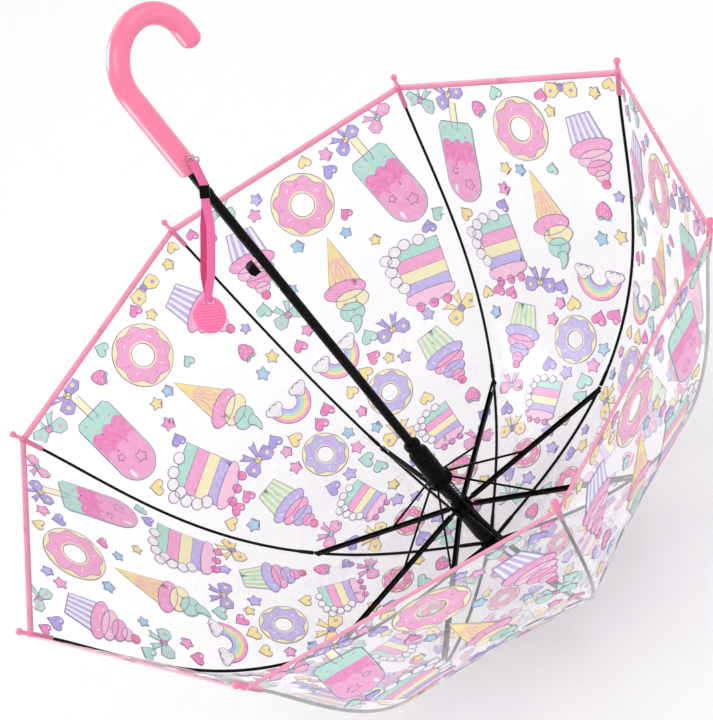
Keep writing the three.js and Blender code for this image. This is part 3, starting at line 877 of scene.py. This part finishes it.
def loop(points, r, sides=10):
    """Closed round wire through points."""
    points = [Vector(p) for p in points]
    normal = Vector((0, 0, 0))
    for a, b in zip(points, points[1:] + points[:1]):
        normal += a.cross(b)
    normal.normalize()
    rings = []
    for i, p in enumerate(points):
        along = (points[(i + 1) % len(points)] - points[i - 1]).normalized()
        side = along.cross(normal)
        rings.append([p + r * (cos(a) * side + sin(a) * normal) for a in turns(sides)])
    return skin(rings, looped=True)


def rounded_bar(width, height, corner, steps=3):
    """Rounded rectangle of points: a bar's section, with y across and z up."""
    points = []
    for number, (sy, sz) in enumerate(((1, 1), (-1, 1), (-1, -1), (1, -1))):
        for i in range(steps + 1):
            a = radians(90 * (number + i / steps))
            points.append((sy * (width / 2 - corner) + corner * cos(a),
                           sz * (height / 2 - corner) + corner * sin(a)))
    return points


def cross_disc(r, x, z, y0, y1, dome=0.0, sides=20):
    """Short cylinder along y, with its outer end domed."""
    end = [(r * 0.8, y1 + dome * 0.6), (r * 0.4, y1 + dome)] if dome else []
    outline = [(0, y0), (r, y0), (r, y1)] + end + [(0, y1 + dome * 1.1)]
    return turned(outline, Matrix.Translation((x, 0, z)) @ Matrix.Rotation(radians(-90), 4, "X"), sides)


def bare(part):
    mesh = bpy.data.meshes.new("work")
    mesh.from_pydata([tuple(v) for v in part[0]], [], part[1])
    return linked("work", mesh)


def carved(part, cutter):
    """A closed part less another closed part."""
    base, tool = bare(part), bare(cutter)
    modifier = base.modifiers.new("cut", "BOOLEAN")
    modifier.operation = "DIFFERENCE"
    modifier.solver = "EXACT"
    modifier.object = tool
    mesh = bpy.data.meshes.new_from_object(base.evaluated_get(bpy.context.evaluated_depsgraph_get()))
    result = [v.co.copy() for v in mesh.vertices], [tuple(p.vertices) for p in mesh.polygons]
    for made in (base, tool):
        bpy.data.objects.remove(made)
    bpy.data.meshes.remove(mesh)
    return result


def fine(name, part, material, body, slot, *nodes, bevel=0.0, angle=38, **more):
    """A piece made in millimetres that stands for CAD nodes."""
    made = piece(name, [Vector(v) * MM for v in part[0]], part[1], material, body, **more)
    if bevel:
        bevelled(made, bevel * MM)
    crease(made, angle)
    if nodes:
        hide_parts(*nodes)
    return made


# ---- pieces on the shaft ----

SHAFT = {"r": 4.2, "bore": 3.5, "bottom": 28, "top": 571}
FIXED_R, SLIDE_R = 4.5, 4.9
RIB_R = 1.4
CROWN_PIVOT, HUB_PIVOT, FLANGE_PIVOT = (7, 50), (8.5, 105), (11, 146)
LINK_SHARE = 0.45
LATCH = {"azimuth": 150, "bottom": 410, "rise": 434.4, "top": 445, "out": 15, "width": 8.4, "seat": 6.8}
CATCH = {"azimuth": 240, "bottom": 166, "top": 188}
SPRING = {"r": 6.9, "wire": 0.9, "turns": 12, "bottom": 110.5, "top": 149.4}
HANDLE = {"r": 9.3, "bottom": 546, "bend": 625.6, "bend_r": 38.5, "end": 9}


def turn_z(degrees):
    return Matrix.Rotation(radians(degrees), 4, "Z")


def ring_of_slots(width, inner, bottom, top):
    """Radial boxes at the ribs."""
    slot = block(inner, 30, -width / 2, width / 2, bottom, top)
    return merged(*[moved(slot, turn_z(FIRST_AZIMUTH + 360 / RIBS * k)) for k in range(RIBS)])


def joined_seam(part):
    """Welds points that lie on each other."""
    work = bmesh.new()
    verts = [work.verts.new(v) for v in part[0]]
    for face in part[1]:
        work.faces.new([verts[i] for i in face])
    bmesh.ops.remove_doubles(work, verts=work.verts[:], dist=1e-4)
    bmesh.ops.recalc_face_normals(work, faces=work.faces[:])
    work.verts.index_update()
    result = [v.co.copy() for v in work.verts], [tuple(v.index for v in f.verts) for f in work.faces]
    work.free()
    return result


def leaf_slot(azimuth_degrees, width, bottom, top):
    return moved(block(1, 12, -width / 2, width / 2, bottom, top), turn_z(azimuth_degrees))


def bored(outline, sides=64):
    """A turned part with a bore: the outline's last point joins its first."""
    return joined_seam(turned(outline + [outline[0]], sides=sides))


def black_part(name, outline, body, node, *cuts, bevel=0.0):
    """A bored piece of black plastic, less the cuts."""
    part = bored(outline)
    if cuts:
        part = carved(part, merged(*cuts))
    fine(name, part, BLACK, body, "black_plastic", node, bevel=bevel)


shaft_tube = bored([(SHAFT[r], SHAFT[z]) for r, z in (
    ("bore", "bottom"), ("r", "bottom"), ("r", "top"), ("bore", "top"),
)], 48)
fine("shaft_tube", carved(shaft_tube, merged(
    leaf_slot(LATCH["azimuth"], 4.2, LATCH["bottom"] - 3, LATCH["top"] + 3),
    leaf_slot(CATCH["azimuth"], 2.8, CATCH["bottom"] - 2, CATCH["top"] + 2),
)), ENAMEL, "root", "black_painted_steel", "shaft")

fine("ferrule_spike", turned([
    (0, 0), (2.2, 0), (2.75, 0.25), (3.2, 0.9), (3.5, 2.4), (4.3, 12), (5.4, 26), (6.2, 34), (6.9, 38.4),
    (8, 40.8), (9.1, 42), (9.6, 42.8), (9.7, 43.6), (9.5, 44.4), (9, 44.7), (4.3, 44.7), (0, 44.7),
], sides=64), PINK, "root", "pink_plastic", "ferrule")

black_part("crown_ring", [
    (FIXED_R, 47.4), (8.4, 47.4), (9.1, 47.7), (9.4, 48.4), (9.4, 52.6), (8.9, 53.6), (8, 54.4),
    (FIXED_R, 54.4),
], "root", "crown", ring_of_slots(2 * RIB_R + 0.6, 5.2, 47, 55), bevel=0.15)

black_part("crown_tube", [
    (FIXED_R, 54.8), (6.2, 54.8), (6.6, 55.4), (8.3, 66), (8.3, 96.5), (8.6, 97), (8.6, 99.4), (8.2, 99.8),
    (FIXED_R, 99.8),
], "root", "crown_sleeve")

black_part("hub_ring", [
    (SLIDE_R, 100.4), (9.4, 100.4), (9.9, 100.7), (10.2, 101.4), (10.2, 108), (9.9, 108.7), (9.4, 109),
    (6.4, 109), (6.4, 109.7), (6.1, 110), (SLIDE_R, 110),
], "stretcher_hub", "stretcher_hub", ring_of_slots(2.8, 6.4, 100, 109.5), bevel=0.15)

black_part("runner_body", [
    (7.9, 142.8), (11.6, 142.8), (12.2, 143.1), (12.4, 143.8), (12.4, 148), (12.1, 148.7), (11.5, 149),
    (9.9, 149.4), (9.5, 150.2), (9.4, 152), (9.4, 166), (9.15, 166.4), (9.15, 167.2), (9.4, 167.6),
    (9.4, 183.4), (9.1, 185), (8.4, 186.6), (7.2, 187.6), (6.6, 188.8), (6.6, 192.2), (7.2, 192.8),
    (7.7, 193.5), (7.8, 194.2), (7.8, 196.2), (7.6, 197), (7.1, 197.5), (6.4, 197.8), (6.3, 198.5),
    (5.9, 199), (SLIDE_R, 199), (SLIDE_R, 149.9), (7.9, 149.9),
], "runner", "runner", ring_of_slots(2.2, 9.2, 142, 149.3), leaf_slot(CATCH["azimuth"], 2.8, 176, 182.5),
           bevel=0.12)

black_part("collar_ring", [
    (4.3, 518), (4.5, 518), (4.75, 518.4), (4.75, 522.6), (4.5, 523), (4.3, 523),
], "root", "shaft_collar")

DEAD_TURNS = 1.2


def coil():
    """Wire between the spring's ends, with its end turns lying flat."""
    wire_r, steps = SPRING["wire"] / 2, SPRING["turns"] * 26
    low, high = SPRING["bottom"] + wire_r, SPRING["top"] - wire_r
    flat = DEAD_TURNS / SPRING["turns"] * 0.7
    points = []
    for i in range(steps + 1):
        a = 2 * pi * SPRING["turns"] * i / steps
        t = i / steps
        t = 0 if t < flat else 1 if t > 1 - flat else (t - flat) / (1 - 2 * flat)
        points.append((SPRING["r"] * cos(a), SPRING["r"] * sin(a), low + (high - low) * t))
    return tube(points, wire_r, 8)


spring = fine("spring_coil", coil(), ENAMEL, "stretcher_hub", "black_painted_steel", "spring", angle=80)
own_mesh(spring)

# ---- latch ----


def latch_cap():
    """Thumb cap, with three grip ridges across its top."""
    half, seat, out, rise, top = (LATCH[key] for key in ("width", "seat", "out", "rise", "top"))
    half /= 2
    outline = [(seat, rise), (out - 2, rise), (out, rise + 4)]
    for t in (i / 24 for i in range(1, 25)):
        ridge = 0.22 * (0.5 - 0.5 * cos(2 * pi * 4 * t))
        outline.append((out + (0.2 - 0.9 * t) * t - 3.2 * t ** 6 + ridge, rise + 4 + (top - rise - 4) * t))
    outline.append((seat, top))
    return skin([[(r, y, z) for r, z in outline] for y in (-half, half)])


cap = moved(latch_cap(), turn_z(LATCH["azimuth"]))
fine("latch_cap", joined_seam(cap), BLACK, "latch", "black_plastic", "latch_button", bevel=0.5)

# ---- handle ----


def crook():
    """Points and radii along the handle, rounded at both ends."""
    r, bottom, bend, bend_r, end = (HANDLE[key] for key in ("r", "bottom", "bend", "bend_r", "end"))
    quarter = [radians(90 * i / 6) for i in range(7)]
    path = [(0, bottom + 0.02, 4.6)]
    path += [(0, bottom + 2.2 * (1 - cos(a)) + 0.04, r - 2.2 * (1 - sin(a))) for a in quarter]
    path += [(0, bottom + 2.4 + (bend - bottom - 2.4) * i / 17, r) for i in range(1, 17)]
    path += [(bend_r * (1 - cos(a)), bend + bend_r * sin(a), r) for a in (pi * i / 72 for i in range(73))]
    path += [(2 * bend_r, bend - end - r * 0.86 * sin(a), max(r * cos(a) ** 0.85, 0.4))
             for a in (radians(90 * i / 14) for i in range(15))]
    return tube([(x, 0, z) for x, z, _ in path], [radius for _, _, radius in path], 56)


fine("handle_grip", crook(), PINK, "root", "pink_plastic", "handle", angle=60)

# ---- ribs, stretchers and links ----


def member(k, start, end):
    """X from one (r, z) point towards another in rib k's plane, Y across that plane; and the length."""
    a = azimuth(k)
    out = Vector((cos(a), sin(a), 0))
    along = out * (end[0] - start[0]) + Vector((0, 0, end[1] - start[1]))
    length = along.length
    along.normalize()
    across = Vector((-sin(a), cos(a), 0))
    return axes(along, across, along.cross(across), out * start[0] + Vector((0, 0, start[1]))), length


def in_mm(s, offset=0.0):
    r, z = rib_point(s, offset)
    return r / MM, z / MM


JOINT = in_mm(JOINT_SHARE)
LINK_JOINT = tuple(a + (b - a) * LINK_SHARE for a, b in zip(HUB_PIVOT, JOINT))
STRETCHER_LENGTH = dist(HUB_PIVOT, JOINT)
LINK_LENGTH = dist(FLANGE_PIVOT, LINK_JOINT)
MM_LENGTH = RIB_LENGTH / MM
CLIP = 4.5
SLEEVE, COLLAR_AT = 22.4, -2.9


def wire(k, first, last, count):
    return tube([around(*in_mm(first + (last - first) * i / count), azimuth(k)) for i in range(count + 1)],
                RIB_R, 14)


def clip_on(k, share, length, low, high, flat=1.0):
    """Crimped sleeve on a rib, thicker at the rim's side."""
    before, after = in_mm(share + length / 2 / MM_LENGTH), in_mm(share - length / 2 / MM_LENGTH)
    place, long = member(k, before, after)
    outline = ((0, low * 0.8), (0.5, low), (long * 0.5, (low + high) / 2), (long - 0.5, high),
               (long, high * 0.85))
    return moved(skin([[(x, r * flat * cos(t), r * sin(t)) for t in turns(20)] for x, r in outline]), place)


def inner_rib(k):
    eye, _ = member(k, CROWN_PIVOT, in_mm(0.94))
    blade = skin([[(x, y, z) for y, z in rounded_bar(2.2 + 0.5 * (x > 3), tall, 0.5)]
                  for x, tall in ((0.2, 2.8), (2, 3.6), (18, 3.4), (24, 2.6))])
    return merged(wire(k, 0.998, JOINT_SHARE, 40), moved(blade, eye),
                  moved(cross_disc(1.7, 0, 0, -1.2, 1.2), eye),
                  clip_on(k, JOINT_SHARE, 2 * CLIP, 1.7, 2.25, 0.66))


def outer_rib(k):
    start = JOINT_SHARE - (CLIP + 0.7) / MM_LENGTH
    sleeve_at = start - 8 / MM_LENGTH
    return merged(wire(k, start, 0.0, 70), clip_on(k, sleeve_at, 15, 1.9, 1.7))


def channel():
    """Stretcher: a folded channel open towards the handle, with a tongue at the hub and a fork at the rib."""
    half, tall, gap, end = 2.3, 1.6, 1.7, STRETCHER_LENGTH + 1.8
    section = [(half, tall), (gap, tall), (gap, -0.9), (-gap, -0.9), (-gap, tall), (-half, tall),
               (-half, -1.1), (-half + 0.2, -1.45), (-half + 0.5, -tall), (half - 0.5, -tall),
               (half - 0.2, -1.45), (half, -1.1)]
    body = skin([[(x, y, z) for y, z in section] for x in (5, end)])
    body = carved(joined_seam(body), block(STRETCHER_LENGTH - 11, end + 1, -gap + 0.01, gap - 0.01, -3, 3))
    tongue = skin([[(x, y, z) for y, z in rounded_bar(2.2, 2 * tall, 0.4)] for x in (0, 6.5)])
    pins = [cross_disc(1.4, STRETCHER_LENGTH * share, 0, half - 0.2, half, 0.55) for share in (LINK_SHARE, 1)]
    pins += [moved(pin, Matrix.Scale(-1, 4, (0, 1, 0))) for pin in pins]
    return joined_seam(merged(body, tongue, cross_disc(tall, 0, 0, -1.1, 1.1), *pins))


def link_bar():
    section = rounded_bar(1.5, 2.0, 0.45)
    bar = skin([[(x, y, z) for y, z in section] for x in (0, LINK_LENGTH)])
    return merged(bar, cross_disc(1.35, 0, 0, -0.8, 0.8), cross_disc(1.25, LINK_LENGTH, 0, -0.8, 0.8))


def rib_tip():
    """Sleeve, collar, neck and ball, about Z from the wire's end."""
    outline = [(1.5, -SLEEVE), (2.1, -SLEEVE), (2.4, 0.4 - SLEEVE), (2.4, -3), (2.6, -2.4), (3, -1.6),
               (3.05, -0.6), (3, 0.2), (2.6, 0.8), (2.05, 1.4), (1.9, 2.4), (1.8, 5)]
    outline += [(3.2 * cos(a), 8.8 + 3.2 * sin(a)) for a in
                (radians(-56 + 146 * i / 14) for i in range(14))]
    return turned([(0, -SLEEVE)] + outline + [(0, 12)], Matrix(), 32)


stretcher_part, link_part, tip_part = channel(), link_bar(), rib_tip()
at_rim = Matrix.Translation((RIM[0] / MM, 0, RIM[1] / MM))
tip_lean = Matrix.Rotation(rib_lean(SLEEVE / 2 / MM_LENGTH), 4, "Y")
sleeve_picks = [int(max(tip_part[0][i].z for i in face) < COLLAR_AT) for face in tip_part[1]]
for k in range(RIBS):
    for name, part, node in (
        ("rib_wire_inner_%d", inner_rib(k), "rib_inner_%d"),
        ("rib_wire_outer_%d", outer_rib(k), "rib_outer_%d"),
        ("stretcher_channel_%d", moved(stretcher_part, member(k, HUB_PIVOT, JOINT)[0]), "stretcher_%d"),
        ("link_bar_%d", moved(link_part, member(k, FLANGE_PIVOT, LINK_JOINT)[0]), "link_%d"),
    ):
        fine(name % (k + 1), part, ENAMEL, node % (k + 1), "black_painted_steel", node % (k + 1))
    place = turn_z(FIRST_AZIMUTH + 360 / RIBS * k) @ at_rim @ tip_lean
    fine("tip_cap_%d" % (k + 1), moved(tip_part, place), None, "rib_outer_%d" % (k + 1), "pink_plastic",
         "rib_tip_%d" % (k + 1), slots=[TIP, TIP_SLEEVE], picks=sleeve_picks)

# ---- wrist strap: X down the strap, Y across it, Z out of its face, from the eyelet ----

EYE = Vector((1.26, -14.44, 559))
DOWN = Vector((-0.5683, 0.1228, -0.8514)).normalized()
FACE = Vector((-0.566, -0.713, 0.413))
ACROSS = DOWN.cross(FACE).normalized()
STRAP = {"width": 6.8, "thickness": 0.9, "top": 4.6, "keeper": 28, "straight": 22, "bottom": 118.4,
         "bulge": 4.2, "spread": 2.9, "lean": 6.3, "disc": 129.8}
HALF_GAP = 1.25
STRAP_STEPS, DISC_STEPS = 60, 12
strap_place = axes(DOWN, -ACROSS, ACROSS.cross(DOWN), EYE)


def ease(x, low, high):
    t = min(1, max(0, (x - low) / (high - low)))
    return t * t * (3 - 2 * t)


def strap_lean(x):
    """How far the strap hangs to one side at a distance down it, most at the slide."""
    out = min(1, max(0, (x - STRAP["top"]) / (STRAP["straight"] - STRAP["top"])))
    return STRAP["lean"] * out * (1 - ease(x, 40, STRAP["disc"] - 2))


def on_strap(part):
    return moved(([Vector((v.x, v.y + strap_lean(v.x), v.z)) for v in part[0]], part[1]), strap_place)


def strap_half_gap(x):
    """Half the gap between the strap's two layers, and how far each is pushed aside, at a distance down."""
    belly = ease(x, STRAP["keeper"] + 6, 62) * (1 - ease(x, 74, STRAP["bottom"] - 6))
    aside = ease(x, STRAP["keeper"] + 5, 60) * (1 - ease(x, 92, STRAP["bottom"] - 2))
    return HALF_GAP + 0.85 * ease(x, 40, 90) + STRAP["bulge"] * belly, STRAP["spread"] * aside


def strap_path():
    """Middle of the tape: down in front, round the disc's bar, up behind and over the ring."""
    mid, top, bottom = STRAP["thickness"] / 2, STRAP["top"], STRAP["bottom"]
    front = []
    for i in range(STRAP_STEPS + 1):
        x = top + (bottom - 4 - top) * i / STRAP_STEPS
        gap, aside = strap_half_gap(x)
        front.append(Vector((x, aside, gap + mid)))
    back = [Vector((p.x, -p.y, -p.z)) for p in reversed(front)]

    def bend(x, r, steps, turn):
        angles = [turn - pi * i / steps for i in range(1, steps)]
        return [Vector((x + r * cos(a), 0, r * sin(a))) for a in angles]

    low = strap_half_gap(bottom)[0] + mid
    return front + bend(bottom - 2.1, low, DISC_STEPS, pi / 2) + back + bend(top, HALF_GAP + mid, 10, -pi / 2)


def strap_band():
    """The tape's skin: outer face, edges and inner face. The back run and the inner face all round take a
    darker copy of the pink, painted shade behind and between the tape's layers.
    """
    path = strap_path()
    n = len(path)
    w, t = STRAP["width"] / 2, STRAP["thickness"] / 2
    section = [(w, -t * 0.4), (w, t * 0.4), (w - 0.35, t), (w * 0.5, t * 1.1), (0, t), (-w * 0.5, t * 1.1),
               (-w + 0.35, t), (-w, t * 0.4), (-w, -t * 0.4), (-w + 0.35, -t), (0, -t), (w - 0.35, -t)]
    rings = []
    for i, p in enumerate(path):
        along = path[(i + 1) % n] - path[i - 1]
        along.y = 0
        along.normalize()
        out = Vector((-along.z, 0, along.x))
        rings.append([p + Vector((0, y, 0)) + out * z for y, z in section])
    back = range(STRAP_STEPS + DISC_STEPS, 2 * STRAP_STEPS + DISC_STEPS)
    # Back run and inner face get the darker pink: painted shade.
    picks = [int(i in back or 8 <= j <= 10) for i in range(n) for j in range(len(section))]
    return skin(rings, looped=True), picks


band, band_picks = strap_band()
band = on_strap(band)
made = piece("strap_tape", [v * MM for v in band[0]], band[1], None, "wrist_strap",
             slots=[TAPE, TAPE_IN_SHADE], picks=band_picks)
crease(made, 50)
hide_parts("strap")


def strap_slide():
    """Square slide with rounded corners, thin walls and a lip at both ends."""
    inside, side = HALF_GAP + STRAP["thickness"] + 0.3, 3.65
    rings = []
    for x, grow in ((-5.2, 0.3), (-5, 0.5), (-4.6, 0.62), (-4.1, 0.5), (-3.7, 0.42), (3.7, 0.42), (4.1, 0.5),
                    (4.6, 0.62), (5, 0.5), (5.2, 0.3), (5.2, 0.0), (-5.2, 0.0)):
        ring = rounded_bar(2 * (side + grow), 2 * (inside + grow), 0.5 + grow, 4)
        rings.append([(STRAP["keeper"] + x, y, z) for y, z in ring])
    return skin(rings + [rings[0]], caps=False)


fine("strap_slide", on_strap(joined_seam(strap_slide())), BLACK, "wrist_strap", "black_plastic",
     "strap_keeper", angle=50)


def end_disc():
    """Oval pad with fine ridges across it, softly crowned and round at the edge."""
    half_w, half_h, thick, rows_count, columns = 13.5, 15.5, 3.4, 124, 24
    sides = []
    for side in (1, -1):
        rings = []
        for i in range(rows_count + 1):
            x = -cos(pi * i / rows_count)
            ring = []
            for j in range(columns + 1):
                y = sin(pi * (j / columns - 0.5)) * sqrt(max(0, 1 - x * x))
                inward = 1 - hypot(x, y)
                edge = sqrt(max(0, 1 - (1 - min(1, inward / 0.09)) ** 2))
                ridge = 0.3 * cos(2 * pi * x * half_h / 2.5) * min(1, max(0, inward - 0.1) / 0.06)
                height = (thick / 2 - 0.25) * edge + 0.25 * (1 - x * x - y * y) + ridge
                ring.append((STRAP["disc"] + x * half_h, y * half_w, side * max(height, 0)))
            rings.append(ring)
        vertices, faces = skin(rings, caps=False, closed=False)
        sides.append((vertices, [f[::side] for f in faces]))
    slot = block(STRAP["bottom"] - 1.5, STRAP["bottom"] + 2.3, -4.2, 4.2, -thick, thick)
    return carved(joined_seam(merged(*sides)), slot)


fine("disc_pad", on_strap(end_disc()), DISC, "wrist_strap", "pink_plastic", "strap_disc", angle=50)


def wire_frame():
    """Rounded wire link between the eyelet and the tape."""
    middle = STRAP["top"] / 2
    return loop([(middle + x, y, 0) for x, y in rounded_bar(2 * middle, 8.8, 1.6, 5)], 0.6)


fine("strap_link", moved(wire_frame(), strap_place), STEEL, "wrist_strap", "spring_steel", "strap_ring",
     angle=80)


def eyelet():
    """Screw eye: a ring that the link hangs in, and a threaded shank into the handle."""
    inward = Vector((-EYE.x, -EYE.y, 0)).normalized()
    inward = (inward - inward.dot(ACROSS) * ACROSS).normalized()
    other = ACROSS.cross(inward)
    eye = loop([EYE + 1.9 * (cos(a) * inward + sin(a) * other) for a in turns(28)], 0.6)
    root = EYE + inward * 1.9
    shank = Vector((root.x, root.y, 0)).normalized() * 5.6 + Vector((0, 0, root.z)) - root
    threads = tube([root + shank * i / 40 for i in range(41)],
                   [0.8 + 0.14 * cos(2 * pi * i / 5) for i in range(41)], 14)
    collar = tube([root + shank * t for t in (0.02, 0.06, 0.12, 0.16)], [0.7, 1.5, 1.5, 0.7], 20)
    return merged(eye, threads, collar)


fine("screw_eye", eyelet(), STEEL, "root", "spring_steel", "strap_eyelet", angle=50)

# ---- CAD nodes that stay, with their finish ----

for name in ("latch_spring", "top_catch"):
    frame["nodes"][name].data.materials.clear()
    frame["nodes"][name].data.materials.append(STEEL)

# ---- the film's flat sizes ----


def film_area(low, high, steps=200):
    """Flat area of a strip between two distances from the rim, one gore wide in all."""
    step = (high - low) / steps
    return sum(2 * gore_half(low + (i + 0.5) * step) for i in range(steps)) * step


for k in range(RIBS):
    for part, first, last in STRIPS:
        end = "%s_%d" % (part, k + 1)
        low, high = RIB_LENGTH * first / ROWS, RIB_LENGTH * last / ROWS
        2 * gore_half(low)
        film_area(low, high)

# ---- stage: the lights are named, placed, sized and powered, and the last two only show as gloss ----

WORLD_STRENGTH = 0.8
AIM = Vector((0, 0, 0.3))
LIGHTS = (
    ("key", (-1.6, -1.2, 2.6), 1.8, 26, False), ("fill", (1.8, -1.6, 1.8), 2.0, 10, False),
    ("back", (0.8, 2.2, 2.2), 1.6, 12, False), ("sheen", (-0.42, 1.7, 1.5), 0.9, 34, True),
    ("low_sheen", (-0.75, 0.46, 0.05), 0.6, 6, True),
)


def make_stage():
    floor = piece("floor", [(-6, -6, 0), (6, -6, 0), (6, 6, 0), (-6, 6, 0)], [(0, 1, 2, 3)],
                  moulded("floor paint", (0.93, 0.93, 0.94), 0.8, 0.985, 60, 0.0001), "root")
    floor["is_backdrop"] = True
    world = bpy.data.worlds.new("studio")
    bpy.context.scene.world = world
    world.use_nodes = True
    background = world.node_tree.nodes["Background"].inputs
    background["Color"].default_value = (1, 1, 1, 1)
    background["Strength"].default_value = WORLD_STRENGTH
    bpy.context.scene.view_settings.view_transform = "Standard"
    for name, place, size, power, gloss_only in LIGHTS:
        light = linked(name, bpy.data.lights.new(name, "AREA"))
        light.data.size = size
        light.data.energy = power
        light.location = place
        light.rotation_euler = (AIM - Vector(place)).to_track_quat("-Z", "Y").to_euler()
        light.visible_camera = False
        light.visible_diffuse = not gloss_only


make_stage()

boxes = {"cad": cad_box, "visual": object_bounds()}
{name: [[float(x) for x in corner] for corner in box] for name, box in boxes.items()}
